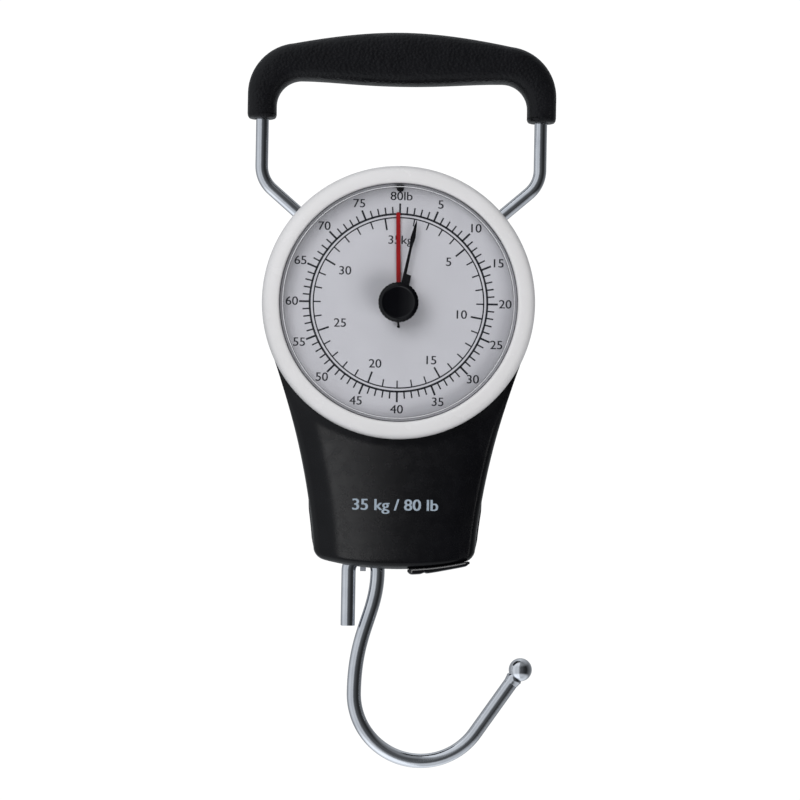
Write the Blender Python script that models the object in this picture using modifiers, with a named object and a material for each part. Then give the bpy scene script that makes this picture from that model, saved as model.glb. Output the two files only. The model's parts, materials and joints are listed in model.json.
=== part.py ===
"""Hand-held dial spring scale with a wire bail, a load hook and a retractable tape measure.

Design constants are in millimetres, measured from the centre of the dial: X to the right,
Z up and the dial facing -Y. The helpers turn them into metres in the object's own frame,
whose origin is the middle of the grip's underside, where the scale hangs.
"""
import math

import bmesh
import bpy
from mathutils import Matrix, Vector

MM = 0.001
GAP = 0.3                      # clearance between pieces that touch
SIDES = (("right", 1), ("left", -1))

# Grip and bail
HANG_HEIGHT = 68.2             # underside of the grip above the dial centre
GRIP_TOP = 85.0
GRIP_OUTER_X = 48.4
GRIP_INNER_X = 39.3
GRIP_END_Z = 57.4
GRIP_RIMS = ((7.0, 3.0), (6.1, 0.9), (4.0, 0.0))   # (depth, how far the outline is inset)
SHOULDER = (32.4, 65.2)        # centre of the grip's outer corner
SHOULDER_R = 16.0
PALM = (31.4, 61.5)            # centre of the corner between its underside and its leg
PALM_R = 7.9
LEG_END_R = 4.3
HANG_FLAT = 5.0                # half length of the flat in the middle of the underside
BAIL_R = 2.0
BAIL_LEG_X = 43.7
BAIL_KNEE_Z = 38.2
BAIL_FOOT = (27.5, 24.2)       # where the slanted run turns level, inside the housing
BAIL_END_X = 21.0
BAIL_TOP_Z = 76.0              # the run inside the grip
BAIL_BENDS = (2.2, 4.5, 11.0)  # how far each bend starts from its corner
WASHER_R = 3.9
WASHER_X = (21.5, 22.5)

# Housing
HEAD_R = 42.3
SIDE_ANGLE = math.radians(-20.4)
BOTTOM_Z = -83.0
BOTTOM_R = 97.5
CORNER_R = 3.0
CORNER_X = 25.3
WALL = 2.0
FRONT_Y = -11.0
BACK_Y = 15.0
WINDOW_R = 31.0
MOUTH_X = (-18.6, -0.9)        # opening in the bottom for the load hook
MOUTH_DEPTH = 15.0
MOUTH_TOP_Z = -78.4
FRONT_POST_R = 3.0
REAR_POST_R = 4.0
POST_SEAT_Y = (8.6, 9.0)       # where the front and the rear screw posts meet
RECESS_R = 2.8                 # wells for the screw heads
RECESS_Y = 12.0
SCREW_HOLE_R = 1.4
CASE_SHANK_R = 1.1
CASE_HEAD_R = 2.5
CASE_HEAD_Y = (12.4, 13.6)
OUTSIDE_Y = 17.0               # clear of the back, for cutting tools
CASE_SCREWS = ((34.0, 8.0), (-34.0, 8.0), (27.0, -29.0), (-27.0, -29.0), (3.6, -72.0))

# Dial and lens
DIAL_R = 38.3
DIAL_BACK_Y = FRONT_Y - GAP
DIAL_FRONT_Y = DIAL_BACK_Y - 0.6
BEZEL_R = 42.4
BEZEL_INNER_R = 37.0
BEZEL_FRONT_Y = -18.6
LENS_STEP_R = 36.0
LENS_BACK_Y = -15.2
LENS_FRONT_Y = -17.0
LENS_FLANGE = (38.2, -14.6, -16.2)   # radius, and its two depths
DIAL_BORE_R = 2.6
LENS_BORE_R = 2.2
KEY_R = 1.15
KEY_Z = (35.65, 36.6)
SPACER_R = (37.2, 38.3)
SPACER_Y = -14.3
KNOB_R = 6.25
KNOB_FRONT_Y = -21.4
KNOB_BACK_Y = -17.3
SPINDLE_R = 1.8
SPINDLE_Y = (-14.1, -17.0)
MAIN_POINTER_Y = (-12.9, -12.4)
HUB_Y = (-13.7, -13.2)
PEAK_POINTER_Y = (-14.7, -14.2)
MAIN_TURN = -1.4               # degrees clockwise from the top, at rest
PEAK_TURN = 11.5

# Mechanism
TEETH = 12
PITCH_R = 3.75                 # one turn of the pointer is 23.56 mm of travel
TOOTH_PITCH = 2 * math.pi * PITCH_R / TEETH
RACK_TEETH = 16
TOOTH_ROOT_W = 0.78
TOOTH_TIP_W = 0.36
PINION_R = (2.85, 4.35)        # root and tip
PINION_Y = (0.95, 2.75)
RACK_X = (3.2, 4.55, 8.2)      # tips, roots and back of the rack
RACK_Y = (1.0, 2.5)
RIVET_X = 6.4
RIVET_HOLE_R = 1.1
RACK_RIVETS = (-1.0, 10.0, 21.0)
FRAME_Y = (9.3, 10.8)
FRAME_X = 24.5
FRAME_Z = (-18.0, 30.0)
TAB_SCREW_X = 22.6             # screws of the front bridge
TAB_HOLE_R = 1.2
SHEET = 1.5
ROD_Y = 4.5
ROD_R = 1.25
ANCHOR_Z = 27.0
CROSSHEAD_Z = -28.0
SPRING_X = 16.5
SPRING_COIL_R = 3.3
SPRING_WIRE_R = 0.7
SPRING_TURNS = 10
SPRING_STEPS = 7               # straight pieces in each turn
BRIDGE_Y = (-4.2, -3.0)
FRAME_SCREWS = ((8.0, 22.0), (-8.0, 22.0), (8.0, -13.0), (-8.0, -13.0))
SHAFT_R = 1.0
SHAFT_Y = (-13.7, 12.3)
TONGUE_X = (-10.6, -8.8)
DRAWBAR_Z = (-31.0, 28.5)
DRAWBAR_RIGHT_X = 8.4
STEM_Y = (-3.6, 3.6)
TONGUE_R = 4.75
ROD_HALF = (21.4, 26.0)        # half lengths of the crosshead and anchor rods
EYE_Z = -79.4                  # hole of the drawbar, where the hook hangs and swings

# Load hook
HOOK_R = 2.25
HOOK_SHORT_X = -14.2
HOOK_LONG_X = -5.1
HOOK_SHORT_END_Z = -101.3
HOOK_BEND = (9.1, -122.4)
HOOK_BEND_R = 21.0
HOOK_RISE = math.radians(55.4)
HOOK_TIP_RUN = 24.0
BALL_R = 3.65

# Tape measure
REEL_Y = 2.6
REEL_Z = -66.0
REEL_R = 8.3
CUP_R = 9.5
TAPE_R = 8.0
TAPE_X = (10.1, 18.5)
REEL_X = 14.3                  # middle of the tape
AXLE_R = 1.3
DRUM_R = 5.5
CASE_X = (7.9, 20.2)
COVER_X = (20.5, 21.3)
TAB_X = (4.2, 23.6)
TAB_Y = (-9.8, -2.7)           # in front of the hook's wire, so that the tab passes it
TAB_THICK = (2.6, 1.7)         # at its left and right ends
BLADE_Y = REEL_Y - TAPE_R - 0.35
BLADE_HALF = 0.1               # half of the thickness of the modelled tape
BLADE_END = 1.9                # how far the tape reaches below the housing


def reset():
    """Empties the scene and makes the collections for the scale and for its cutting tools."""
    for old in list(bpy.data.objects):
        bpy.data.objects.remove(old)
    parts = bpy.data.collections.new("spring_scale")
    cutters = bpy.data.collections.new("cutters")
    cutters.hide_render = True
    for collection in (parts, cutters):
        bpy.context.scene.collection.children.link(collection)
    return parts, cutters


PARTS, CUTTERS = reset()


def place(x, y, z):
    """A point measured in millimetres from the dial centre, in metres from the origin."""
    return Vector((x, y, z - HANG_HEIGHT)) * MM


def joint_frame(name, x, y, z):
    """An empty on a joint's axis, which the moving pieces are parented to."""
    empty = bpy.data.objects.new(name, None)
    empty.location = place(x, y, z)
    empty.empty_display_size = 5 * MM
    PARTS.objects.link(empty)
    return empty


def material(name, colour, roughness, metallic=0.0, alpha=1.0):
    made = bpy.data.materials.new(name)
    made.use_nodes = True
    shader = made.node_tree.nodes["Principled BSDF"]
    shader.inputs["Base Color"].default_value = (*colour, 1)
    shader.inputs["Roughness"].default_value = roughness
    shader.inputs["Metallic"].default_value = metallic
    shader.inputs["Alpha"].default_value = alpha
    made.diffuse_color = (*colour, alpha)
    return made


def link(name, mesh):
    made = bpy.data.objects.new(name, mesh)
    PARTS.objects.link(made)
    return made


def mesh_from(bm, name):
    mesh = bpy.data.meshes.new(name)
    bmesh.ops.recalc_face_normals(bm, faces=bm.faces)
    bm.to_mesh(mesh)
    bm.free()
    return mesh


def box(name, x, y, z):
    """A box between the two ends given for each axis."""
    centre = place(*(sum(pair) / 2 for pair in (x, y, z)))
    size = [abs(pair[1] - pair[0]) * MM for pair in (x, y, z)]
    bm = bmesh.new()
    bmesh.ops.create_cube(bm, size=1.0)
    bm.transform(Matrix.Translation(centre) @ Matrix.Diagonal((*size, 1)))
    return link(name, mesh_from(bm, name))


def rod(name, start, end, radius, sides=12):
    """A round bar between two points."""
    a, b = place(*start), place(*end)
    turn = (b - a).to_track_quat("Z", "Y").to_matrix().to_4x4()
    bm = bmesh.new()
    bmesh.ops.create_cone(
        bm, cap_ends=True, segments=sides, radius1=radius * MM, radius2=radius * MM,
        depth=(b - a).length, matrix=Matrix.Translation((a + b) / 2) @ turn,
    )
    return link(name, mesh_from(bm, name))


def turned(name, profile, steps=48, centre=(0, 0, 0), axis="front"):
    """A lathe-turned piece. The profile is a closed outline of (radius, height) points.

    Heights run along -Y for the axis "front", and along X for the axis "side". The outline
    is run through clockwise, so that its faces point outwards.
    """
    shifted = profile[1:] + profile[:1]
    if sum(r * h2 - r2 * h for (r, h), (r2, h2) in zip(profile, shifted)) > 0:
        profile = profile[::-1]
    bm = bmesh.new()
    points = [bm.verts.new((r * MM, 0, h * MM)) for r, h in profile]
    for first, second in zip(points, points[1:] + points[:1]):
        if first.co.x > 0 or second.co.x > 0:
            bm.edges.new((first, second))
    mesh = bpy.data.meshes.new(name)
    bm.to_mesh(mesh)
    bm.free()
    made = link(name, mesh)
    spin = made.modifiers.new("turn", "SCREW")
    spin.steps = spin.render_steps = steps
    spin.use_merge_vertices = True
    spin.merge_threshold = 0.00001
    made.rotation_euler = (math.pi / 2, 0, 0) if axis == "front" else (0, math.pi / 2, 0)
    made.location = place(*centre)
    return made


def ring(name, r_in, r_out, y_back, y_front):
    """A flat ring about the dial's axis, between two depths."""
    profile = [(r_out, -y_front), (r_out, -y_back), (r_in, -y_back), (r_in, -y_front)]
    return turned(name, profile)


def solid_of(made):
    """The evaluated shape of an object as a plain welded mesh in world space."""
    bpy.context.view_layer.update()
    graph = bpy.context.evaluated_depsgraph_get()
    mesh = bpy.data.meshes.new_from_object(made.evaluated_get(graph))
    mesh.transform(made.matrix_world)
    bm = bmesh.new()
    bm.from_mesh(mesh)
    bmesh.ops.remove_doubles(bm, verts=bm.verts, dist=0.000001)
    bmesh.ops.recalc_face_normals(bm, faces=bm.faces)
    bm.to_mesh(mesh)
    bm.free()
    name = made.name
    bpy.data.objects.remove(made)
    return link(name, mesh)


def outline(name, points, y):
    """A flat outline of (x, z) points, as thick as the two depths in y."""
    curve = bpy.data.curves.new(name, "CURVE")
    curve.dimensions = "2D"
    curve.fill_mode = "BOTH"
    curve.extrude = abs(y[1] - y[0]) / 2 * MM
    line = curve.splines.new("POLY")
    line.points.add(len(points) - 1)
    line.use_cyclic_u = True
    for point, (x, z) in zip(line.points, points):
        point.co = (x * MM, z * MM, 0, 1)
    made = link(name, curve)
    made.rotation_euler = (math.pi / 2, 0, 0)
    made.location = place(0, sum(y) / 2, 0)
    return solid_of(made)


def wire(name, points, radius, detail=2, tilt=0.0):
    """A round wire through a list of (x, y, z) points."""
    curve = bpy.data.curves.new(name, "CURVE")
    curve.dimensions = "3D"
    curve.bevel_depth = radius * MM
    curve.bevel_resolution = detail
    curve.use_fill_caps = True
    line = curve.splines.new("POLY")
    line.points.add(len(points) - 1)
    for point, at in zip(line.points, points):
        point.co = (*place(*at), 1)
        point.tilt = tilt
    return link(name, curve)


def cutter(made):
    """Turns an object into a cutting tool that the finished part leaves out."""
    made.hide_render = True
    made.display_type = "WIRE"
    CUTTERS.objects.link(made)
    PARTS.objects.unlink(made)
    return made


def combine(made, others, operation):
    for other in others:
        step = made.modifiers.new(f"{operation.lower()} {other.name}", "BOOLEAN")
        step.operation = operation
        step.object = cutter(other)
        step.solver = "EXACT"
    return made


def cut(made, *tools):
    return combine(made, tools, "DIFFERENCE")


def join(made, *others):
    return combine(made, others, "UNION")


def arc(centre, radius, start, end, steps):
    """Points on an arc, from one angle to another in degrees."""
    angles = [math.radians(start + (end - start) * i / steps) for i in range(steps + 1)]
    return [(centre[0] + radius * math.cos(a), centre[1] + radius * math.sin(a)) for a in angles]


def bezier(p0, p1, p2, p3, steps):
    """Points on a cubic curve, without its first point."""
    made = []
    for i in range(1, steps + 1):
        t = i / steps
        weights = ((1 - t) ** 3, 3 * t * (1 - t) ** 2, 3 * t * t * (1 - t), t ** 3)
        made.append(tuple(sum(w * p[k] for w, p in zip(weights, (p0, p1, p2, p3)))
                          for k in range(len(p0))))
    return made


def mirrored(half):
    """A closed outline from its right half, which runs from the top to the bottom."""
    left = [(-x, z) for x, z in reversed(half) if x > 0.001]
    return half + left


def bottom_z(x):
    """Height of the curved bottom edge of the housing."""
    return BOTTOM_Z + BOTTOM_R - math.sqrt(BOTTOM_R ** 2 - x ** 2)


def housing_outline():
    """Front view of the housing: a round head that runs into a waisted body."""
    head = arc((0, 0), HEAD_R, 90, math.degrees(SIDE_ANGLE), 12)
    leave = head[-1]
    corner_c = CORNER_X - CORNER_R
    corner_z = BOTTOM_Z + BOTTOM_R - math.sqrt((BOTTOM_R - CORNER_R) ** 2 - corner_c ** 2)
    slope = (math.sin(SIDE_ANGLE), -math.cos(SIDE_ANGLE))
    side = bezier(
        leave,
        (leave[0] + 18 * slope[0], leave[1] + 18 * slope[1]),
        (CORNER_X + 1.5, corner_z + 22),
        (CORNER_X, corner_z),
        7,
    )
    lean = math.degrees(math.asin(corner_c / (BOTTOM_R - CORNER_R)))
    corner = arc((corner_c, corner_z), CORNER_R, 0, lean - 90, 3)[1:]
    start_x = corner[-1][0]
    bottom = [(start_x * (1 - i / 4), bottom_z(start_x * (1 - i / 4))) for i in range(1, 5)]
    return mirrored(head + side + corner + bottom)


def fade(value, start, end):
    """Rises smoothly from 0 at start to 1 at end."""
    t = min(1, max(0, (value - start) / (end - start)))
    return t * t * (3 - 2 * t)


def loft(loops, name, both_ends):
    """Skin over a row of loops with equal counts of points, closed by a face at its end."""
    bm = bmesh.new()
    rows = [[bm.verts.new(place(*spot)) for spot in loop] for loop in loops]
    for outer, inner in zip(rows, rows[1:]):
        for i in range(len(outer)):
            j = (i + 1) % len(outer)
            bm.faces.new((outer[i], outer[j], inner[j], inner[i]))
    cap = bm.faces.new(rows[-1])
    if both_ends:
        bm.faces.new(rows[0][::-1])
    bm.normal_update()
    if cap.normal.y * (loops[-1][0][1] - loops[0][0][1]) < 0:
        bmesh.ops.reverse_faces(bm, faces=bm.faces)
    mesh = bpy.data.meshes.new(name)
    bm.to_mesh(mesh)
    bm.free()
    return mesh


def shell(name, levels, edge_swell=0.0):
    """Half of the housing: loops of the outline at each depth, closed by a flat face.

    Each level is (y, side, lift, head): the depth, how far the body's sides close in as a
    share of its width, how far the bottom edge lifts and how far the head's rim closes in.
    """
    loops = []
    for y, side, lift, head in levels:
        loop = []
        for x, z in housing_outline():
            body = fade(z, -22, -44)
            swell = edge_swell * fade(z, -60, -66) * fade(z, -78, -74) * math.copysign(1, x)
            rim = 1 - (head / HEAD_R) * (1 - body)
            loop.append((x * (1 - side * body) * rim + swell, y,
                         z * rim + lift * fade(z, -72, -80)))
        loops.append(loop)
    made = link(name, loft(loops, name, both_ends=False))
    wall = made.modifiers.new("wall", "SOLIDIFY")
    wall.thickness = WALL * MM
    wall.offset = -1
    wall.use_even_offset = True
    return solid_of(made)


def front_housing():
    levels = (
        (-0.15, 0.0, 0.0, 0.0), (-5.0, 0.01, 0.0, 0.0), (-8.0, 0.09, 0.4, 0.0),
        (-10.0, 0.22, 1.0, 0.0), (FRONT_Y, 0.42, 1.8, 0.0),
    )
    made = shell("front_housing", levels)
    posts = [rod(f"front_post_{i}", (x, -9.6, z), (x, POST_SEAT_Y[0], z), FRONT_POST_R, 10)
             for i, (x, z) in enumerate(CASE_SCREWS)]
    join(made, *posts)
    window = rod("front_window", (0, -14, 0), (0, -8, 0), WINDOW_R, 48)
    pilots = [rod(f"pilot_{i}", (x, -3, z), (x, 12, z), SCREW_HOLE_R, 8)
              for i, (x, z) in enumerate(CASE_SCREWS)]
    return cut(made, window, *pilots, *mouth_cutters("front"), tape_slot())


def rear_housing():
    levels = (
        (0.15, 0.0, 0.0, 0.0), (9.5, 0.0, 0.0, 0.0), (12.2, 0.02, 0.4, 0.6),
        (14.2, 0.07, 1.3, 2.0), (BACK_Y, 0.16, 2.6, 4.2),
    )
    made = shell("rear_housing", levels, edge_swell=0.5)
    posts = [rod(f"rear_post_{i}", (x, POST_SEAT_Y[1], z), (x, BACK_Y - 0.5, z), REAR_POST_R, 10)
             for i, (x, z) in enumerate(CASE_SCREWS)]
    seats = [rod(f"frame_post_{i}", (x, FRAME_Y[1] + GAP, z), (x, 14, z), FRONT_POST_R, 10)
             for i, (x, z) in enumerate(FRAME_SCREWS)]
    join(made, *posts, *seats)
    heads = [rod(f"head_recess_{i}", (x, RECESS_Y, z), (x, OUTSIDE_Y, z), RECESS_R, 10)
             for i, (x, z) in enumerate(CASE_SCREWS)]
    shanks = [rod(f"shank_hole_{i}", (x, 6, z), (x, OUTSIDE_Y, z), SCREW_HOLE_R, 8)
              for i, (x, z) in enumerate(CASE_SCREWS)]
    blind = [rod(f"frame_hole_{i}", (x, 9, z), (x, 13.6, z), SCREW_HOLE_R, 8)
             for i, (x, z) in enumerate(FRAME_SCREWS)]
    return cut(made, *heads, *shanks, *blind, *mouth_cutters("rear"))


def mouth_cutters(side):
    """Cuts for the bail wires at the parting line and for the load hook in the bottom."""
    wires = []
    for sign, label in ((1, "right"), (-1, "left")):
        knee = (sign * BAIL_LEG_X, 0, BAIL_KNEE_Z)
        foot = (sign * BAIL_FOOT[0], 0, BAIL_FOOT[1])
        wires.append(rod(f"{side}_bail_{label}", knee, foot, BAIL_R + GAP + 0.1, 12))
    depth = (-MOUTH_DEPTH / 2, MOUTH_DEPTH / 2)
    mouth = box(f"{side}_mouth", MOUTH_X, depth, (-90, MOUTH_TOP_Z))
    return wires + [mouth]


def tape_slot():
    return box("tape_slot", (TAPE_X[0] - 0.6, TAPE_X[1] + 0.6), (BLADE_Y - 0.8, BLADE_Y + 0.8),
               (-90, -78))


def housing_screws():
    """Screws from the back through both shells, with their heads in round recesses."""
    seat, top = -CASE_HEAD_Y[0], -CASE_HEAD_Y[1]
    profile = [(0, 1.0), (CASE_SHANK_R, 1.0), (CASE_SHANK_R, seat), (CASE_HEAD_R, seat),
               (CASE_HEAD_R, top), (0, top)]
    return [turned(f"housing_screw_{i}", profile, 8, (x, 0, z))
            for i, (x, z) in enumerate(CASE_SCREWS, 1)]


def grip_outline(inset):
    """Front view of the hand grip, drawn in by an even inset for its rounded rims."""
    rim_r = LEG_END_R - inset
    shoulder = arc(SHOULDER, SHOULDER_R - inset, 84, 0, 6)
    crown = shoulder[0]
    top = bezier((0, GRIP_TOP - inset), (12, GRIP_TOP - inset), (crown[0] - 10.2, crown[1] + 2.4),
                 crown, 5)
    heel = arc((GRIP_OUTER_X - LEG_END_R, GRIP_END_Z + LEG_END_R), rim_r, 0, -90, 3)
    toe = arc((GRIP_INNER_X + LEG_END_R, GRIP_END_Z + LEG_END_R), rim_r, -90, -180, 3)
    palm = arc(PALM, PALM_R + inset, 0, 90, 4)[1:]
    under = HANG_HEIGHT + inset
    belly = bezier(palm[-1], (22, palm[-1][1]), (14, under), (HANG_FLAT, under), 4)
    return mirrored([(0, GRIP_TOP - inset)] + top + shoulder[1:] + heel + toe + palm + belly)


def grip():
    """Moulded hand grip: a bellied bar with a short leg at each end."""
    levels = [(-y, inset) for y, inset in GRIP_RIMS] + [(y, inset) for y, inset in GRIP_RIMS[::-1]]
    loops = [[(x, y, z) for x, z in grip_outline(inset)] for y, inset in levels]
    made = link("handle_grip", loft(loops, "handle_grip", both_ends=True))
    return cut(made, solid_of(wire("grip_channel", bail_path(), BAIL_R + GAP)))


def bail_path():
    """Centre line of the bail, from the end inside the left of the housing to the right."""
    half = [(BAIL_END_X, BAIL_FOOT[1])]
    knee = (BAIL_LEG_X, BAIL_KNEE_Z)
    for corner, before, after, size in (
        (BAIL_FOOT, half[0], knee, BAIL_BENDS[0]),
        (knee, BAIL_FOOT, (BAIL_LEG_X, BAIL_TOP_Z), BAIL_BENDS[1]),
        ((BAIL_LEG_X, BAIL_TOP_Z), knee, (0, BAIL_TOP_Z), BAIL_BENDS[2]),
    ):
        start = Vector(corner) + (Vector(before) - Vector(corner)).normalized() * size
        end = Vector(corner) + (Vector(after) - Vector(corner)).normalized() * size
        half += [tuple(start)] + bezier(start, Vector(corner).lerp(start, 0.35),
                                        Vector(corner).lerp(end, 0.35), end, 4)
    left = [(-x, 0, z) for x, z in half]
    right = [(x, 0, z) for x, z in reversed(half)]
    return left + right


def bail():
    return wire("handle_wire", bail_path(), BAIL_R)


def bail_retainers():
    """Push-on washers that hold the ends of the bail in the frame's ears."""
    pair = []
    for side, sign in SIDES:
        washer = [(WASHER_R, WASHER_X[0]), (WASHER_R, WASHER_X[1]), (BAIL_R + GAP, WASHER_X[1]),
                  (BAIL_R + GAP, WASHER_X[0])]
        pair.append(turned(f"handle_retainer_{side}", [(r, sign * x) for r, x in washer], 20,
                           (0, 0, BAIL_FOOT[1]), "side"))
    return pair


def bezel():
    profile = [
        (BEZEL_R, -FRONT_Y + GAP), (BEZEL_INNER_R + 1.6, -FRONT_Y + GAP),
        (BEZEL_INNER_R + 1.6, 16.5), (BEZEL_INNER_R, 16.5), (BEZEL_INNER_R, 17.3),
        (37.4, 18.1), (38.4, -BEZEL_FRONT_Y), (40.0, 18.2), (41.5, 16.7), (42.2, 14.6),
    ]
    return turned("bezel_ring", profile)


def lens():
    flange_r, low, high = LENS_FLANGE
    profile = [
        (LENS_STEP_R, -LENS_FRONT_Y), (LENS_STEP_R, -high), (flange_r, -high), (flange_r, -low),
        (LENS_STEP_R, -low), (LENS_STEP_R - 0.6, -LENS_BACK_Y), (LENS_BORE_R, -LENS_BACK_Y),
        (LENS_BORE_R, -LENS_FRONT_Y),
    ]
    return turned("dial_lens", profile, 40)


def dial_key():
    """Half-round locating key at the top of the dial, with its tip towards the centre."""
    points = [(KEY_R, KEY_Z[1])] + arc((0, KEY_Z[0]), KEY_R, 0, -180, 6) + [(-KEY_R, KEY_Z[1])]
    return outline("dial_locating_key", points, (DIAL_FRONT_Y - GAP, DIAL_FRONT_Y - 1.2))


def frame():
    """Pressed sheet frame: a back plate with a flange at each side."""
    made = box("mechanism_frame", (-FRAME_X, FRAME_X), FRAME_Y, FRAME_Z)
    flanges = []
    tabs = []
    for sign in (1, -1):
        across = (sign * (FRAME_X - SHEET), sign * FRAME_X)
        flanges.append(box(f"ear_{sign}", across, (-5, 10), (17, FRAME_Z[1])))
        flanges.append(box(f"cheek_{sign}", across, (-2.7, 10), (-8, 17.5)))
        tabs.append(box(f"tab_{sign}", (sign * 20.9, sign * FRAME_X), (-2.7, -1.5), (-6, 6)))
    join(made, *flanges, *tabs)
    holes = [
        rod("bail_holes", (-30, 0, BAIL_FOOT[1]), (30, 0, BAIL_FOOT[1]), BAIL_R + GAP, 16),
        rod("anchor_holes", (-30, ROD_Y, ANCHOR_Z), (30, ROD_Y, ANCHOR_Z), ROD_R + GAP, 12),
        rod("rear_bush_hole", (0, 8, 0), (0, 12, 0), 2.8, 16),
    ]
    holes += [rod(f"tab_hole_{sign}", (sign * TAB_SCREW_X, -4, 0), (sign * TAB_SCREW_X, 0, 0),
                  TAB_HOLE_R, 12)
              for sign in (1, -1)]
    holes += [rod(f"fixing_hole_{i}", (x, 8, z), (x, 12, z), SCREW_HOLE_R, 8)
              for i, (x, z) in enumerate(FRAME_SCREWS)]
    return cut(made, *holes)


def frame_screws():
    head = FRAME_Y[0] - GAP
    profile = [(0, 1.0 - head), (1.9, 1.0 - head), (1.9, -head), (1.1, -head), (1.1, -13.2),
               (0, -13.2)]
    return [turned(f"frame_screw_{i}", profile, 8, (x, 0, z))
            for i, (x, z) in enumerate(FRAME_SCREWS, 1)]


def bridge():
    made = box("front_bridge", (-FRAME_X, FRAME_X), BRIDGE_Y, (-5.5, 5.5))
    holes = [rod("front_bush_hole", (0, -6, 0), (0, -1, 0), 2.4, 16)]
    holes += [rod(f"bridge_hole_{sign}", (sign * TAB_SCREW_X, -6, 0),
                  (sign * TAB_SCREW_X, -2.9, 0), TAB_HOLE_R, 12)
              for sign in (1, -1)]
    return cut(made, *holes)


def bridge_screws():
    head = BRIDGE_Y[0] - GAP
    profile = [(0, 0.9 - head), (1.7, 0.9 - head), (1.7, -head), (0.9, -head), (0.9, 0.6),
               (0, 0.6)]
    return [turned(f"bridge_screw_{side}", profile, 8, (sign * TAB_SCREW_X, 0, 0))
            for side, sign in SIDES]


def bush(name, body_r, flange_r, flange, body):
    """A flanged bearing for the pointer shaft: depths of its flange, then of its body."""
    bore = SHAFT_R + GAP
    profile = [(bore, -flange[0]), (flange_r, -flange[0]), (flange_r, -flange[1]),
               (body_r, -body[0]), (body_r, -body[1]), (bore, -body[1])]
    return turned(name, profile, 16)


def spring(side):
    """A close-wound extension spring with a hook at each end, one for each side."""
    sign = dict(SIDES)[side]
    hook_r = ROD_R + GAP + SPRING_WIRE_R + 0.15
    low, high = CROSSHEAD_Z + 4.3, ANCHOR_Z - 4.3
    steps = SPRING_TURNS * SPRING_STEPS
    coil = []
    for i in range(steps + 1):
        a = math.pi / 2 + 2 * math.pi * i / SPRING_STEPS
        coil.append((SPRING_COIL_R * math.cos(a), SPRING_COIL_R * math.sin(a),
                     low + (high - low) * i / steps))
    upper = [(0, -math.cos(a) * hook_r, ANCHOR_Z + math.sin(a) * hook_r)
             for a in [math.radians(d) for d in range(180, -41, -27)]]
    lower = [(x, y, ANCHOR_Z + CROSSHEAD_Z - z) for x, y, z in reversed(upper)]
    points = lower + coil[1:-1] + upper
    return wire(f"spring_{side}",
                [(sign * SPRING_X + x, ROD_Y + y, z) for x, y, z in points],
                SPRING_WIRE_R, 0)


def toothed_edge(count, root, tip, thick, top):
    """One side of a straight rack, as (depth, height) points for each tooth."""
    made = []
    slope = (thick - top) / 2
    for i in range(count):
        z = (i + 0.5) * TOOTH_PITCH
        made += [(root, z - thick / 2 - slope), (tip, z - top / 2), (tip, z + top / 2),
                 (root, z + thick / 2 + slope)]
    return made


def rack():
    """Straight rack to the right of the pinion, fixed behind the drawbar plate."""
    tip, root, back = RACK_X
    teeth = toothed_edge(RACK_TEETH, root, tip, TOOTH_ROOT_W, TOOTH_TIP_W)
    low = -2.5 * TOOTH_PITCH
    high = low + RACK_TEETH * TOOTH_PITCH
    points = [(back, low), (root, low)] + [(x, low + z) for x, z in teeth] + [(root, high), (back, high)]
    made = outline("gear_rack", points, RACK_Y)
    holes = [rod(f"rack_hole_{i}", (RIVET_X, 0, z), (RIVET_X, 4, z), RIVET_HOLE_R, 8)
             for i, z in enumerate(RACK_RIVETS)]
    return cut(made, *holes)


def rack_rivets():
    profile = [(0, 2.0), (1.2, 2.0), (1.5, 1.0), (0.8, 1.0), (0.8, -2.8), (1.5, -2.8),
               (1.2, -3.6), (0, -3.6)]
    return [turned(f"rack_rivet_{i}", profile, 8, (RIVET_X, 0, z))
            for i, z in enumerate(RACK_RIVETS, 1)]


def drawbar():
    """Drawbar: a slotted plate, a flange that ends in the hook's tongue and a short ear."""
    made = box("drawbar", (TONGUE_X[0], DRAWBAR_RIGHT_X), (-0.7, 0.7), DRAWBAR_Z)
    flange = box("drawbar_flange", TONGUE_X, (STEM_Y[0], 6.6), (DRAWBAR_Z[0], -20))
    stem = box("drawbar_stem", TONGUE_X, STEM_Y, (-76.5, -25))
    tongue = rod("drawbar_tongue", (TONGUE_X[0], 0, EYE_Z), (TONGUE_X[1], 0, EYE_Z), TONGUE_R, 24)
    ear = box("drawbar_ear", (DRAWBAR_RIGHT_X - SHEET, DRAWBAR_RIGHT_X), (-0.6, 6.6), (DRAWBAR_Z[0], -23))
    join(made, flange, stem, tongue, ear)
    slot = box("shaft_slot", (-2.4, 2.4), (-3, 3), (-3.4, 25.6))
    eye = rod("hook_eye", (-13, 0, EYE_Z), (-6, 0, EYE_Z), HOOK_R + GAP + 0.1, 20)
    seat = rod("crosshead_hole", (-13, ROD_Y, CROSSHEAD_Z), (11, ROD_Y, CROSSHEAD_Z),
               ROD_R + GAP, 12)
    holes = [rod(f"drawbar_hole_{i}", (RIVET_X, -2, z), (RIVET_X, 2, z), RIVET_HOLE_R, 8)
             for i, z in enumerate(RACK_RIVETS)]
    return cut(made, slot, eye, seat, *holes)


def crosshead_rod():
    """The rod that pulls both springs down, with a collar at each end."""
    half, collar_r, collar = ROD_HALF[0], 2.0, 0.8
    profile = [(0, half), (collar_r, half), (collar_r, half - collar), (ROD_R, half - collar),
               (ROD_R, collar - half), (collar_r, collar - half), (collar_r, -half), (0, -half)]
    return turned("crosshead_rod", profile, 12, (0, ROD_Y, CROSSHEAD_Z), "side")


def anchor_rod():
    half = ROD_HALF[1]
    return rod("spring_anchor_rod", (-half, ROD_Y, ANCHOR_Z), (half, ROD_Y, ANCHOR_Z), ROD_R)


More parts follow.
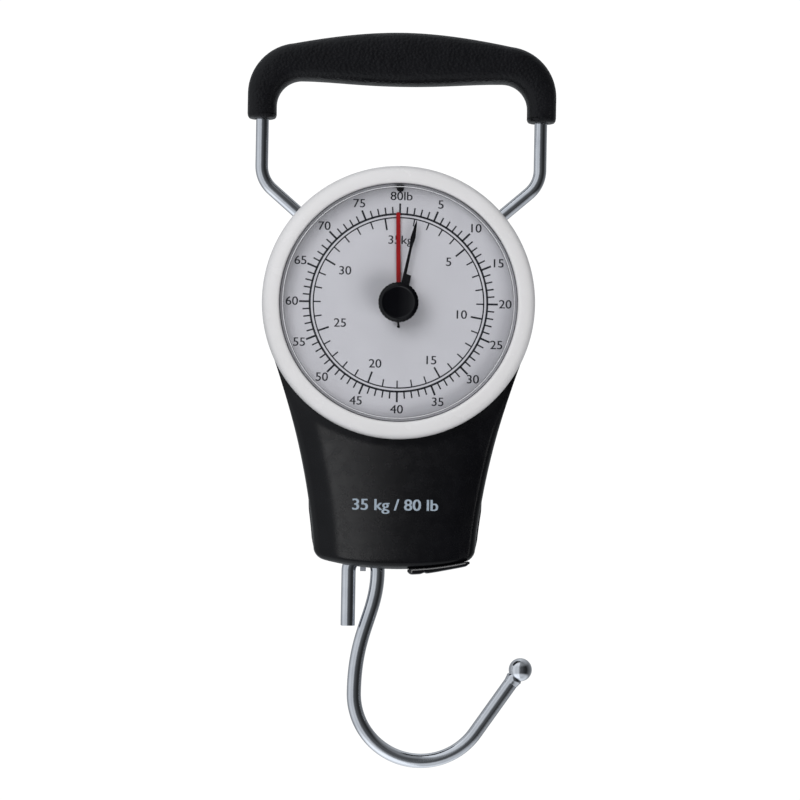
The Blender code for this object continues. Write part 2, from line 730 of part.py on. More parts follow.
def pinion():
    """Pinion on the pointer shaft, with a tooth gap towards the rack tooth at rest."""
    root, tip = PINION_R
    corners = ((root, -TOOTH_ROOT_W / 2 - 0.12), (tip, -TOOTH_TIP_W / 2), (tip, TOOTH_TIP_W / 2),
               (root, TOOTH_ROOT_W / 2 + 0.12))
    points = []
    for i in range(TEETH):
        middle = 2 * math.pi * (i + 0.5) / TEETH
        for radius, offset in corners:
            angle = middle + offset / radius
            points.append((radius * math.cos(angle), radius * math.sin(angle)))
    made = outline("pinion", points, PINION_Y)
    return cut(made, rod("pinion_bore", (0, 0, 0), (0, 4, 0), SHAFT_R + GAP))


def pointer(name, y, length, width, tip, hub_r, bore, turn, tail=0.0, tail_width=0.0):
    """A flat hand: a blade from the hub to the tip, turned clockwise from the top."""
    half = width / 2
    start = math.degrees(math.asin(half / hub_r))
    points = arc((0, 0), hub_r, 90 - start, -90 + start, 8)
    if tail:
        points[-1:] = [(tail_width / 2, -hub_r), (tail_width / 2, -tail),
                       (-tail_width / 2, -tail), (-tail_width / 2, -hub_r)]
    points += arc((0, 0), hub_r, -90 - start, -270 + start, 8)[1 if tail else 0:]
    points += [(-tip, length - tip)] + arc((0, length - tip), tip, 160, 20, 3)
    points += [(tip, length - tip)]
    angle = -math.radians(turn)
    points = [(x * math.cos(angle) - z * math.sin(angle), x * math.sin(angle) + z * math.cos(angle))
              for x, z in points]
    made = outline(name, points, y)
    return cut(made, rod(f"{name}_bore", (0, y[0] - 1, 0), (0, y[1] + 1, 0), bore, 16))


def knob():
    front = -KNOB_FRONT_Y
    profile = [(0, front), (5.2, front), (5.9, front - 0.4), (KNOB_R, front - 1.1),
               (KNOB_R, 0.3 - KNOB_BACK_Y), (6.0, -KNOB_BACK_Y), (0, -KNOB_BACK_Y)]
    return turned("peak_knob", profile, 32)


def knob_spindle():
    back, front = -SPINDLE_Y[0], -SPINDLE_Y[1]
    profile = [(0, front), (SPINDLE_R, front), (SPINDLE_R, back), (0, back)]
    return turned("knob_spindle", profile, 16)


def hook_path():
    """Centre line of the load hook: an arch through the eye, a long leg and a round bend."""
    arch_r = (HOOK_LONG_X - HOOK_SHORT_X) / 2
    arch_x = (HOOK_LONG_X + HOOK_SHORT_X) / 2
    arch_z = EYE_Z - arch_r
    points = [(HOOK_SHORT_X, HOOK_SHORT_END_Z)]
    points += arc((arch_x, arch_z), arch_r, 180, 0, 10)
    foot = (HOOK_BEND[0] - HOOK_BEND_R, HOOK_BEND[1])
    points += bezier((HOOK_LONG_X, arch_z), (HOOK_LONG_X, arch_z - 14), (foot[0], foot[1] + 20),
                     foot, 9)
    leave = math.degrees(HOOK_RISE) - 90
    flat = 5.0
    points += arc(HOOK_BEND, HOOK_BEND_R, 180, 270 - flat, 8)[1:]
    points += arc(HOOK_BEND, HOOK_BEND_R, 270 + flat, 360 + leave, 5)
    end = points[-1]
    points.append((end[0] + HOOK_TIP_RUN * math.cos(HOOK_RISE),
                   end[1] + HOOK_TIP_RUN * math.sin(HOOK_RISE)))
    return [(x, 0, z) for x, z in points]


def hook():
    """Load hook, with a flat of the wire's faceted section upwards in the bend."""
    return wire("hook_wire", hook_path(), HOOK_R, 3, tilt=math.radians(18))


def hook_ball():
    tip = hook_path()[-1]
    aim = Vector((math.cos(HOOK_RISE), 0, math.sin(HOOK_RISE)))
    bm = bmesh.new()
    centre = place(*(Vector(tip) + aim * 0.4))
    bmesh.ops.create_uvsphere(bm, u_segments=14, v_segments=8, radius=BALL_R * MM,
                              matrix=Matrix.Translation(centre))
    made = link("hook_ball_tip", mesh_from(bm, "hook_ball_tip"))
    start = Vector(tip) - aim * 8
    end = Vector(tip) + aim * GAP
    return cut(made, rod("ball_bore", tuple(start), tuple(end), HOOK_R + GAP, 16))


def tape_case():
    """Round cup for the reel, open on the right, with a slot for the blade at the bottom."""
    inner, outer = CASE_X
    profile = [(CUP_R, inner), (CUP_R, outer), (CUP_R - 0.8, outer), (CUP_R - 0.8, inner + 0.9),
               (AXLE_R + GAP, inner + 0.9), (AXLE_R + GAP, inner)]
    made = turned("tape_case", profile, 24, (0, REEL_Y, REEL_Z), "side")
    slot = box("case_slot", (TAPE_X[0] - 0.5, TAPE_X[1] + 0.5), (BLADE_Y - 1.4, BLADE_Y + 0.9),
               (REEL_Z - 12, REEL_Z - 1))
    return cut(made, slot)


def tape_cover():
    inner, outer = COVER_X
    profile = [(CUP_R, inner), (CUP_R, outer), (AXLE_R + GAP, outer), (AXLE_R + GAP, inner)]
    return turned("tape_case_cover", profile, 24, (0, REEL_Y, REEL_Z), "side")


def tape_spool():
    drum, flange, bore = DRUM_R, REEL_R, AXLE_R + GAP
    profile = [(flange, 9.0), (flange, 9.8), (drum, 9.8), (drum, 18.8), (flange, 18.8),
               (flange, 19.6), (4.8, 19.6), (4.8, 9.8), (bore, 9.8), (bore, 9.0)]
    return turned("tape_spool", profile, 24, (0, REEL_Y, REEL_Z), "side")


def wound_tape():
    profile = [(TAPE_R, TAPE_X[0]), (TAPE_R, TAPE_X[1]), (DRUM_R + GAP, TAPE_X[1]),
               (DRUM_R + GAP, TAPE_X[0])]
    return turned("wound_tape", profile, 24, (0, REEL_Y, REEL_Z), "side")


def power_spring():
    """Spiral return spring between the axle and the drum, as a thin coiled strip."""
    turns, steps = 3, 27
    curve = bpy.data.curves.new("tape_power_spring", "CURVE")
    curve.dimensions = "3D"
    curve.extrude = 3.4 * MM
    curve.bevel_depth = 0.1 * MM
    curve.bevel_resolution = 0
    curve.use_fill_caps = True
    line = curve.splines.new("POLY")
    line.points.add(steps)
    for i, point in enumerate(line.points):
        angle = 2 * math.pi * turns * i / steps
        radius = (2.1 + 2.1 * i / steps) * MM
        point.co = (radius * math.cos(angle), radius * math.sin(angle), 0, 1)
    made = link("tape_power_spring", curve)
    made.rotation_euler = (0, math.pi / 2, 0)
    made.location = place(REEL_X, REEL_Y, REEL_Z)
    return made


def tape_blade():
    return box("tape_blade", TAPE_X, (BLADE_Y - BLADE_HALF, BLADE_Y + BLADE_HALF),
               (bottom_z(REEL_X) - BLADE_END, REEL_Z))


def tape_tab():
    """Pull tab that hugs the bottom of the housing, with a slot for the end of the blade."""
    steps = 6
    width = TAB_X[1] - TAB_X[0]
    upper = [(TAB_X[0] + width * i / steps, bottom_z(TAB_X[0] + width * i / steps) - GAP)
             for i in range(steps + 1)]
    taper = (TAB_THICK[0] - TAB_THICK[1]) / width
    lower = [(x, z - TAB_THICK[0] + taper * (x - TAB_X[0])) for x, z in reversed(upper)]
    made = outline("tape_tab", upper + lower, TAB_Y)
    room = BLADE_HALF + GAP
    slot = box("tab_slot", (TAPE_X[0] - GAP, TAPE_X[1] + GAP), (BLADE_Y - room, BLADE_Y + room),
               (bottom_z(REEL_X) - BLADE_END - 0.1, -78))
    return cut(made, slot)


def smooth(made):
    """Smooth shading on the round faces of a piece."""
    if made.type == "MESH":
        made.data.shade_smooth()
        made.data.set_sharp_from_angle(angle=math.radians(35))


def finish(pieces, parent, look):
    """Gives each piece its own material and hangs it on its joint."""
    bpy.context.view_layer.update()
    for made in pieces:
        made.data.materials.clear()
        name = made.name.replace("_", " ")
        made.data.materials.append(material(name, *look))
        smooth(made)
        if parent:
            keep = made.matrix_world.copy()
            made.parent = parent
            made.matrix_parent_inverse = parent.matrix_world.inverted()
            made.matrix_world = keep


CHROME = ((0.72, 0.73, 0.75), 0.12, 1.0)
STEEL = ((0.55, 0.56, 0.58), 0.35, 1.0)
BRASS = ((0.72, 0.55, 0.28), 0.3, 1.0)
BLACK_SATIN = ((0.02, 0.02, 0.022), 0.42)
BLACK_GLOSS = ((0.012, 0.012, 0.013), 0.15)
WHITE_GLOSS = ((0.72, 0.72, 0.7), 0.2)
DIAL_GREY = ((0.5, 0.5, 0.54), 0.4)
CLEAR = ((0.95, 0.97, 0.98), 0.03, 0.0, 0.3)
RED = ((0.4, 0.012, 0.012), 0.35)
GREY_PLASTIC = ((0.35, 0.35, 0.36), 0.45)
YELLOW = ((0.75, 0.6, 0.08), 0.4)


def main():
    load_axis = joint_frame("load_slide_axis", 0, 0, 0)
    pointer_axis = joint_frame("pointer_axis", 0, 0, 0)
    peak_axis = joint_frame("peak_axis", 0, 0, 0)
    hook_axis = joint_frame("hook_axis", (HOOK_SHORT_X + HOOK_LONG_X) / 2, 0, EYE_Z)
    tape_axis = joint_frame("tape_axis", REEL_X, REEL_Y - TAPE_R, REEL_Z)
    reel_axis = joint_frame("reel_axis", REEL_X, REEL_Y, REEL_Z)

    finish([grip(), front_housing(), rear_housing()], None, BLACK_SATIN)
    finish([bail()], None, CHROME)
    finish([bezel()], None, WHITE_GLOSS)
    finish([lens()], None, CLEAR)
    finish([ring("dial_plate", DIAL_BORE_R, DIAL_R, DIAL_BACK_Y, DIAL_FRONT_Y)], None, DIAL_GREY)
    finish([dial_key()], None, BLACK_GLOSS)
    finish([ring("lens_spacer_ring", *SPACER_R, DIAL_FRONT_Y - GAP, SPACER_Y)], None, GREY_PLASTIC)
    finish(bail_retainers() + housing_screws() + frame_screws() + bridge_screws(), None, STEEL)
    finish([frame(), bridge(), anchor_rod(), spring("left"), spring("right")], None, STEEL)
    finish([bush("rear_bush", 2.5, 3.6, (8.0, 9.0), (9.0, 12.0)),
            bush("front_bush", 2.1, 3.2, (-1.7, -2.7), (-2.7, -5.2))], None, BRASS)
    finish([tape_case(), tape_cover()], None, GREY_PLASTIC)
    axle = rod("tape_axle", (8.1, REEL_Y, REEL_Z), (21.2, REEL_Y, REEL_Z), AXLE_R)
    finish([axle, power_spring()], None, STEEL)

    finish([drawbar(), crosshead_rod()] + rack_rivets(), load_axis, STEEL)
    finish([rack()], load_axis, BRASS)

    shaft = rod("pointer_shaft", (0, SHAFT_Y[0], 0), (0, SHAFT_Y[1], 0), SHAFT_R, 16)
    finish([shaft], pointer_axis, STEEL)
    finish([pinion()], pointer_axis, BRASS)
    bore = SHAFT_R + GAP
    hand = pointer("main_pointer", MAIN_POINTER_Y, 28.2, 1.6, 0.8, 2.8, bore, MAIN_TURN)
    finish([hand], pointer_axis, RED)
    hub = pointer("pointer_hub", HUB_Y, 4.4, 0.8, 0.4, 3.2, bore, MAIN_TURN, tail=7.8, tail_width=0.8)
    finish([hub], pointer_axis, BLACK_GLOSS)

    peak = pointer("peak_pointer", PEAK_POINTER_Y, 26.3, 1.1, 0.5, 3.4, SPINDLE_R + GAP, PEAK_TURN)
    finish([peak, knob(), knob_spindle()], peak_axis, BLACK_GLOSS)

    finish([hook(), hook_ball()], hook_axis, CHROME)
    finish([tape_tab()], tape_axis, BLACK_GLOSS)
    finish([tape_blade()], tape_axis, YELLOW)
    finish([tape_spool()], reel_axis, GREY_PLASTIC)
    finish([wound_tape()], reel_axis, YELLOW)


main()
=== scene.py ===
"""Looks of the hanging spring scale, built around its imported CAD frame.

Lengths are in millimetres from the centre of the dial, as in the CAD source: X to the right,
Z up, the dial facing -Y. at() turns them into metres in the frame.
"""
import json
import math

import bmesh
import bpy
from mathutils import Matrix, Vector

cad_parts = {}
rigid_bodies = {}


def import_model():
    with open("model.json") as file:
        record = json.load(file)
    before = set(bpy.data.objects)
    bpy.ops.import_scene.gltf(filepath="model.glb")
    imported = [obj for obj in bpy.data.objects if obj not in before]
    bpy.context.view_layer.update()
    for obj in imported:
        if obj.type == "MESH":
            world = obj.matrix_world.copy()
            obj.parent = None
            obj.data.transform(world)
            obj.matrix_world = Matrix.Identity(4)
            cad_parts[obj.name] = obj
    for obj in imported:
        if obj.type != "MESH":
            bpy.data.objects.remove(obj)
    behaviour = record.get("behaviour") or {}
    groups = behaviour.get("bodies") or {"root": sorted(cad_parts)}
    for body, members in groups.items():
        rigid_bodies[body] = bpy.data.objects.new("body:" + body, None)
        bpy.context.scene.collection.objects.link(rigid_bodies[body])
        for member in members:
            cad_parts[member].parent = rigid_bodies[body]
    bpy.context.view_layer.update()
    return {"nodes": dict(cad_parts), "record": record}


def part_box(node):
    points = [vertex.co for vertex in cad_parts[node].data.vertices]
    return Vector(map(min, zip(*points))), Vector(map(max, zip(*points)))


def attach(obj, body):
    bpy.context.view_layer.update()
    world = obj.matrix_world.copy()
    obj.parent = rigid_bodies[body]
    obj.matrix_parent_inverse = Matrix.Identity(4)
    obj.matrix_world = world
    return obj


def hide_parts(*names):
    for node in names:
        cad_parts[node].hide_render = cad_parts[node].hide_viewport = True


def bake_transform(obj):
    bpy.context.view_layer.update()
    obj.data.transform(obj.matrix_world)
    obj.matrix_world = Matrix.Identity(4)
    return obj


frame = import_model()

MM = 0.001
TAU = 2 * math.pi
SIDES = (("right", 1), ("left", -1))


def centre_of(node):
    low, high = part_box(node)
    return (low + high) / 2


DIAL_Z = centre_of("dial_plate").z


def reach(node, axis, end):
    """One side of a CAD node's box, in millimetres from the dial centre."""
    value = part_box(node)[end][axis]
    return (value - (DIAL_Z if axis == 2 else 0)) / MM


def spot_of(node):
    """The middle of a CAD node's box, in millimetres from the dial centre."""
    middle = centre_of(node)
    return middle.x / MM, middle.y / MM, (middle.z - DIAL_Z) / MM


# Driving sizes, read from the frame where it holds them
DIAL_FRONT = reach("dial_plate", 1, 0)
DIAL_R = reach("dial_plate", 0, 1)
BEZEL_R = reach("bezel_ring", 0, 1)
BEZEL_BACK = reach("bezel_ring", 1, 1)
BEZEL_FRONT = reach("bezel_ring", 1, 0)
BEZEL_INNER_R = 37.0
LENS_FRONT = reach("dial_lens", 1, 0)
LENS_R = reach("dial_lens", 0, 1)
KNOB_R = reach("peak_knob", 0, 1)
KNOB_FRONT = reach("peak_knob", 1, 0)
KNOB_BACK = reach("peak_knob", 1, 1)
GRIP_TOP = reach("handle_grip", 2, 1)
GRIP_OUTER = reach("handle_grip", 0, 1)
GRIP_END = reach("handle_grip", 2, 0)
GRIP_HALF_DEPTH = reach("handle_grip", 1, 1)
HANG_HEIGHT = -DIAL_Z / MM
SHOULDER = (32.4, 65.2)        # centre of the grip's outer corner
PALM = (31.4, 61.5)            # centre of the corner between its underside and its leg
PALM_R = 7.9
HEAD_R = 42.3                  # the housing round the dial
SIDE_ANGLE = math.radians(-20.4)  # where its waisted sides leave that circle
BOTTOM_Z = -83.0
BOTTOM_R = 97.5
CORNER_R = 3.0
CORNER_X = 25.3
WALL = 2.0
FRONT_Y = -11.0
BACK_Y = reach("rear_housing", 1, 1)
PARTING = 0.15                 # half the groove between the halves
WIRE_R = (reach("handle_wire", 1, 1) - reach("handle_wire", 1, 0)) / 2
LEG_X = 43.7
BAIL_KNEE = (LEG_X, 38.2)
BAIL_FOOT = (27.5, 24.2)
HOOK_R = 2.25
EYE_Z = -79.4
SHARP = 38                     # degrees between faces that still shade as one
RIM = 0.08                     # bevel on the rim of a stamped piece


def at(x, y, z):
    return Vector((x * MM, y * MM, z * MM + DIAL_Z))


# ---------------- mesh helpers

def add_object(name, data):
    made = bpy.data.objects.new(name, data)
    bpy.context.scene.collection.objects.link(made)
    return made


def shade(mesh, sharp=SHARP):
    mesh.shade_smooth()
    mesh.set_sharp_from_angle(angle=math.radians(sharp))


def object_from(name, bm, sharp=SHARP):
    mesh = bpy.data.meshes.new(name)
    bm.to_mesh(mesh)
    bm.free()
    shade(mesh, sharp)
    return add_object(name, mesh)


def weld(bm):
    bmesh.ops.remove_doubles(bm, verts=bm.verts, dist=1e-6)
    bmesh.ops.recalc_face_normals(bm, faces=bm.faces)


def skin(name, loops, sharp=SHARP):
    """A skin over a row of closed loops, with a cap at each end."""
    bm = bmesh.new()
    rows = [[bm.verts.new(at(*spot)) for spot in loop] for loop in loops]
    for first, second in zip(rows, rows[1:]):
        for i in range(len(first)):
            j = (i + 1) % len(first)
            bm.faces.new((first[i], first[j], second[j], second[i]))
    bm.faces.new(rows[0])
    bm.faces.new(rows[-1])
    weld(bm)
    return object_from(name, bm, sharp)


def lathe(name, profile, steps=128, centre=(0, 0, 0), sharp=SHARP):
    """A turned piece from a closed outline of (radius, height) points. Heights run to the front."""
    cx, cy, cz = centre
    bm = bmesh.new()
    rows = []
    for k in range(steps):
        c, s = math.cos(TAU * k / steps), math.sin(TAU * k / steps)
        rows.append([bm.verts.new(at(cx + r * c, cy - h, cz + r * s)) for r, h in profile])
    count = len(profile)
    for first, second in zip(rows, rows[1:] + rows[:1]):
        for i in range(count):
            j = (i + 1) % count
            if profile[i][0] > 0 or profile[j][0] > 0:
                bm.faces.new((first[i], first[j], second[j], second[i]))
    weld(bm)
    return object_from(name, bm, sharp)


def rounded(points, radius, steps=4):
    """A closed outline with its corners rounded, by one radius or by one for each corner."""
    made = []
    for i, corner in enumerate(points):
        size = radius[i] if isinstance(radius, (list, tuple)) else radius
        here = Vector(corner)
        before = Vector(points[i - 1]) - here
        after = Vector(points[(i + 1) % len(points)]) - here
        if size <= 0:
            made.append(tuple(here))
            continue
        start = here + before.normalized() * min(size, 0.45 * before.length)
        end = here + after.normalized() * min(size, 0.45 * after.length)
        for k in range(steps + 1):
            t = k / steps
            made.append(tuple(start * (1 - t) ** 2 + here * 2 * t * (1 - t) + end * t * t))
    return made


def inset(points, distance):
    """A closed outline of (x, z) points drawn in by a small distance."""
    spots = [Vector(p) for p in points]
    turn = sum(a.x * b.y - b.x * a.y for a, b in zip(spots, spots[1:] + spots[:1]))
    sign = 1 if turn > 0 else -1
    made = []
    for i, here in enumerate(spots):
        along = (here - spots[i - 1]).normalized() + (spots[(i + 1) % len(spots)] - here).normalized()
        along.normalize()
        made.append((here.x - along.y * distance * sign, here.y + along.x * distance * sign))
    return made


def plate(name, outline, back, front):
    """A flat piece from an outline of (x, z) points, with fine bevels on its rims."""
    small = inset(outline, RIM)
    levels = ((small, back), (outline, back - RIM), (outline, front + RIM), (small, front))
    return skin(name, [[(x, y, z) for x, z in ring] for ring, y in levels])


def turned(points, angle, centre=(0, 0)):
    """Points of (x, z) turned anticlockwise by an angle in radians, and moved to a centre."""
    c, s = math.cos(angle), math.sin(angle)
    return [(centre[0] + x * c - z * s, centre[1] + x * s + z * c) for x, z in points]


def tube(name, path, radius, sides, end_round=0.0):
    """A round wire along a path, with its ends rounded over a little."""
    spots = [Vector(p) for p in path]
    radii = [radius] * len(spots)
    if end_round:
        first = (spots[1] - spots[0]).normalized() * end_round
        last = (spots[-2] - spots[-1]).normalized() * end_round
        head = [spots[0], spots[0] + first * 0.25, spots[0] + first]
        foot = [spots[-1] + last, spots[-1] + last * 0.25, spots[-1]]
        cap = [radius - end_round, radius - end_round * 0.3, radius]
        spots = head + spots[1:-1] + foot
        radii = cap + radii[1:-1] + cap[::-1]
    angles = [TAU * k / sides for k in range(sides)]
    side = None
    loops = []
    for i, spot in enumerate(spots):
        along = (spots[min(i + 1, len(spots) - 1)] - spots[max(i - 1, 0)]).normalized()
        if side is None:
            side = along.orthogonal()
        side = (side - along * side.dot(along)).normalized()
        up = along.cross(side)
        loops.append([tuple(spot + (side * math.cos(a) + up * math.sin(a)) * radii[i]) for a in angles])
    return skin(name, loops)


def box(name, x, y, z):
    corners = ((x[0], y[0]), (x[1], y[0]), (x[1], y[1]), (x[0], y[1]))
    return skin(name, [[(i, j, k) for i, j in corners] for k in z])


def bar(name, start, end, radius):
    return tube(name, [start, end], radius, 48)


def merge(name, pieces):
    """One object from several, for shapes that don't touch."""
    bm = bmesh.new()
    for piece in pieces:
        bm.from_mesh(piece.data)
        bpy.data.objects.remove(piece)
    return object_from(name, bm)


def baked(made):
    """A copy of an object's mesh, with its modifiers applied."""
    graph = bpy.context.evaluated_depsgraph_get()
    return bpy.data.meshes.new_from_object(made.evaluated_get(graph))


def carve(made, operation, tools, sharp=SHARP):
    """Cuts separate tools from a piece, or joins them to it."""
    tool = merge(made.name + "_tool", tools)
    step = made.modifiers.new("carve", "BOOLEAN")
    step.operation = operation
    step.object = tool
    step.solver = "EXACT"
    mesh = baked(made)
    made.modifiers.clear()
    made.data = mesh
    shade(mesh, sharp)
    bpy.data.objects.remove(tool)
    return made


def arc(centre, radius, start, end, steps):
    angles = [math.radians(start + (end - start) * i / steps) for i in range(steps + 1)]
    return [(centre[0] + radius * math.cos(a), centre[1] + radius * math.sin(a)) for a in angles]


def bezier(p0, p1, p2, p3, steps):
    """Points on a cubic curve, both ends included."""
    made = []
    for i in range(steps + 1):
        t = i / steps
        weights = ((1 - t) ** 3, 3 * t * (1 - t) ** 2, 3 * t * t * (1 - t), t ** 3)
        made.append(tuple(sum(w * p[k] for w, p in zip(weights, (p0, p1, p2, p3)))
                          for k in range(len(p0))))
    return made


def fade(value, start, end):
    """Rises smoothly from 0 at start to 1 at end."""
    t = min(1, max(0, (value - start) / (end - start)))
    return t * t * (3 - 2 * t)


# ---------------- materials

def add_node(tree, kind, inputs, **settings):
    """A new shader node. Each of its inputs takes a value or another node's output."""
    node = tree.nodes.new("ShaderNode" + kind)
    for name, value in settings.items():
        setattr(node, name, value)
    for name, value in inputs.items():
        if isinstance(value, bpy.types.NodeSocket):
            tree.links.new(value, node.inputs[name])
        else:
            node.inputs[name].default_value = value
    return node


def blend_shaders(tree, share, first, second, output="Material Output"):
    """Ends a tree in two mixed shaders, with this share of the second."""
    blend = add_node(tree, "MixShader", {"Fac": share, 1: first, 2: second})
    tree.links.new(blend.outputs["Shader"], tree.nodes[output].inputs["Surface"])


class Look:
    """A Principled material, with short calls for the nodes that vary it."""

    def __init__(self, name, colour, roughness, metallic=0.0, specular=0.5):
        self.name = name
        self.material = bpy.data.materials.new(name)
        self.material.use_nodes = True
        self.tree = self.material.node_tree
        self.shader = self.tree.nodes["Principled BSDF"]
        for key, value in (("Base Color", (*colour, 1)), ("Roughness", roughness),
                           ("Metallic", metallic), ("Specular IOR Level", specular)):
            self.shader.inputs[key].default_value = value
        self.where = self.add("TexCoord", {}).outputs["Object"]

    def add(self, kind, inputs, **settings):
        return add_node(self.tree, kind, inputs, **settings)

    def link(self, source, key):
        self.tree.links.new(source, self.shader.inputs[key])
        return self

    def noise(self, size, detail=2.0, stretch=None):
        """Cloudy noise with features of about this size in millimetres."""
        where = self.where
        if stretch:
            where = self.add("Mapping", {"Vector": where, "Scale": stretch}).outputs["Vector"]
        inputs = {"Vector": where, "Scale": 1 / (size * MM), "Detail": detail}
        return self.add("TexNoise", inputs).outputs["Fac"]

    def cells(self, size):
        """Rounded cells of this size in millimetres, for a pebbled grain."""
        inputs = {"Vector": self.where, "Scale": 1 / (size * MM), "Smoothness": 0.6}
        return self.add("TexVoronoi", inputs, feature="SMOOTH_F1").outputs["Distance"]

    def spread(self, value, low, high, start=0.3, end=0.7):
        """Takes a value that runs from start to end to one that runs from low to high."""
        inputs = {"Value": value, "From Min": start, "From Max": end, "To Min": low, "To Max": high}
        return self.add("MapRange", inputs).outputs["Result"]

    def mix(self, share, first, second, how="MIX"):
        inputs = {"Factor": share, "A": first, "B": second}
        return self.add("Mix", inputs, data_type="RGBA", blend_type=how).outputs["Result"]

    def math(self, operation, first, second=0.0):
        return self.add("Math", {0: first, 1: second}, operation=operation).outputs["Value"]

    def rough(self, value, low, high):
        return self.link(self.spread(value, low, high), "Roughness")

    def tint(self, value, first, second):
        """Varies the colour between two."""
        return self.link(self.mix(self.spread(value, 0, 1), (*first, 1), (*second, 1)), "Base Color")

    def overlay(self, share, colour, how="MIX"):
        """Lays a colour over the tint that is there."""
        tinted = self.shader.inputs["Base Color"].links[0].from_socket
        return self.link(self.mix(share, tinted, (*colour, 1), how), "Base Color")

    def bump(self, value, depth):
        """Raises the surface by this depth in millimetres. Calls stack up."""
        inputs = {"Distance": depth * MM, "Strength": 1.0, "Height": value}
        normal = self.shader.inputs["Normal"]
        if normal.is_linked:
            inputs["Normal"] = normal.links[0].from_socket
        return self.link(self.add("Bump", inputs).outputs["Normal"], "Normal")

    def shadow_ring(self, start, end, level):
        """Darkens the colour towards the rim of the dial, as far as this share of it: a painted shadow of
        the bezel lip.
        """
        away = self.add("VectorMath", {0: self.where, 1: at(0, DIAL_FRONT, 0)}, operation="SUBTRACT")
        size = self.add("VectorMath", {0: away.outputs["Vector"]}, operation="LENGTH")
        share = self.spread(size.outputs["Value"], 0, 1, start * MM, end * MM)
        return self.overlay(share, (level, level, level), "MULTIPLY")


def black_plastic(name, colour, gloss, grain, depth):
    """Moulded black plastic: a spark-eroded grain, soft blotches in gloss and faint dust."""
    look = Look(name, colour, gloss[0], specular=0.25)
    light = tuple(c * 1.35 + 0.0006 for c in colour)
    look.tint(look.noise(7, 3), colour, light)
    look.rough(look.noise(3.5, 4), *gloss)
    return look.bump(look.noise(grain, 2), depth)


def gloss_black(name, shine):
    look = Look(name, (0.002, 0.002, 0.003), 0.1, specular=shine)
    look.tint(look.noise(5, 2), (0.001, 0.001, 0.002), (0.002, 0.002, 0.003))
    look.rough(look.noise(1.2, 4), 0.05, 0.13)
    return look.bump(look.noise(2.5, 2), 0.012)


def grip_plastic():
    look = black_plastic("grip_plastic", (0.0034, 0.0034, 0.0044), (0.36, 0.46), 0.22, 0.02)
    return look.bump(look.cells(0.9), 0.16)


def chrome():
    """Plated drawn wire: bright, with a faint orange peel and fine pits."""
    look = Look("chrome_wire", (0.78, 0.80, 0.84), 0.06, 1.0)
    look.tint(look.noise(6, 3), (0.70, 0.72, 0.77), (0.82, 0.84, 0.88))
    look.rough(look.noise(1.0, 5), 0.03, 0.1)
    look.bump(look.noise(0.45, 4), 0.015)
    return look.bump(look.noise(4, 1), 0.02)


def metal(name, colour, gloss, stretch=(1, 1, 14)):
    """Worked metal: drawn or rolled lines in gloss and height, and a cloudy tone."""
    look = Look(name, colour, gloss[0], 1.0)
    look.tint(look.noise(4, 3), tuple(c * 0.86 for c in colour), colour)
    look.rough(look.noise(1.5, 4, stretch), *gloss)
    return look.bump(look.noise(0.6, 3, stretch), 0.008)


def bezel_white():
    look = Look("bezel_white", (0.74, 0.73, 0.73), 0.2, specular=0.4)
    look.tint(look.noise(18, 3), (0.735, 0.72, 0.72), (0.77, 0.755, 0.76))
    look.rough(look.noise(5, 3), 0.24, 0.28)
    look.bump(look.noise(12, 0), 0.006)
    return look.bump(look.noise(0.4, 2), 0.0025)


def dial_silver():
    """Silver-grey coated card, a little cloudy, with a fine tooth, and a painted shadow round its rim."""
    look = Look("dial_silver", (0.70, 0.70, 0.73), 0.5)
    look.tint(look.noise(14, 3), (0.695, 0.69, 0.72), (0.735, 0.73, 0.76))
    # painted shadow of the bezel lip, darkening the rim of the dial
    look.shadow_ring(34.0, 36.8, 0.82)
    look.rough(look.noise(2, 3), 0.42, 0.56)
    return look.bump(look.noise(0.25, 2), 0.003)


def ink():
    look = Look("print_black", (0.012, 0.012, 0.016), 0.45)
    return look.tint(look.noise(0.6, 3), (0.008, 0.008, 0.012), (0.022, 0.022, 0.03))


def pointer_red():
    look = Look("pointer_red", (0.36, 0.004, 0.006), 0.35, specular=0.25)
    look.tint(look.noise(3, 3), (0.31, 0.003, 0.005), (0.39, 0.005, 0.007))
    return look.rough(look.noise(1, 3), 0.28, 0.42)


def pale_print():
    look = Look("print_pale", (0.33, 0.39, 0.45), 0.4)
    return look.tint(look.noise(0.5, 3), (0.29, 0.35, 0.41), (0.37, 0.43, 0.5))


def grey_plastic():
    look = Look("inner_grey_plastic", (0.36, 0.36, 0.37), 0.45)
    look.tint(look.noise(5, 3), (0.33, 0.33, 0.34), (0.4, 0.4, 0.41))
    return look.rough(look.noise(1.5, 3), 0.4, 0.55)


def tape_cloth(name, marked):
    """Yellow coated tape with a fine weave. A marked one has a line every 10 mm of height."""
    look = Look(name, (0.62, 0.46, 0.05), 0.42)
    look.tint(look.noise(2, 3), (0.58, 0.42, 0.045), (0.68, 0.52, 0.07))
    look.bump(look.noise(0.22, 2, (1, 1, 0.4)), 0.01)
    if marked:
        split = look.add("SeparateXYZ", {"Vector": look.where})
        near_edge = look.math("GREATER_THAN", split.outputs["X"], centre_of("tape_blade").x)
        beat = look.math("FRACT", look.math("DIVIDE", split.outputs["Z"], 10 * MM))
        line = look.math("MULTIPLY", look.math("LESS_THAN", beat, 0.07), near_edge)
        look.overlay(line, (0.01, 0.01, 0.012))
    return look


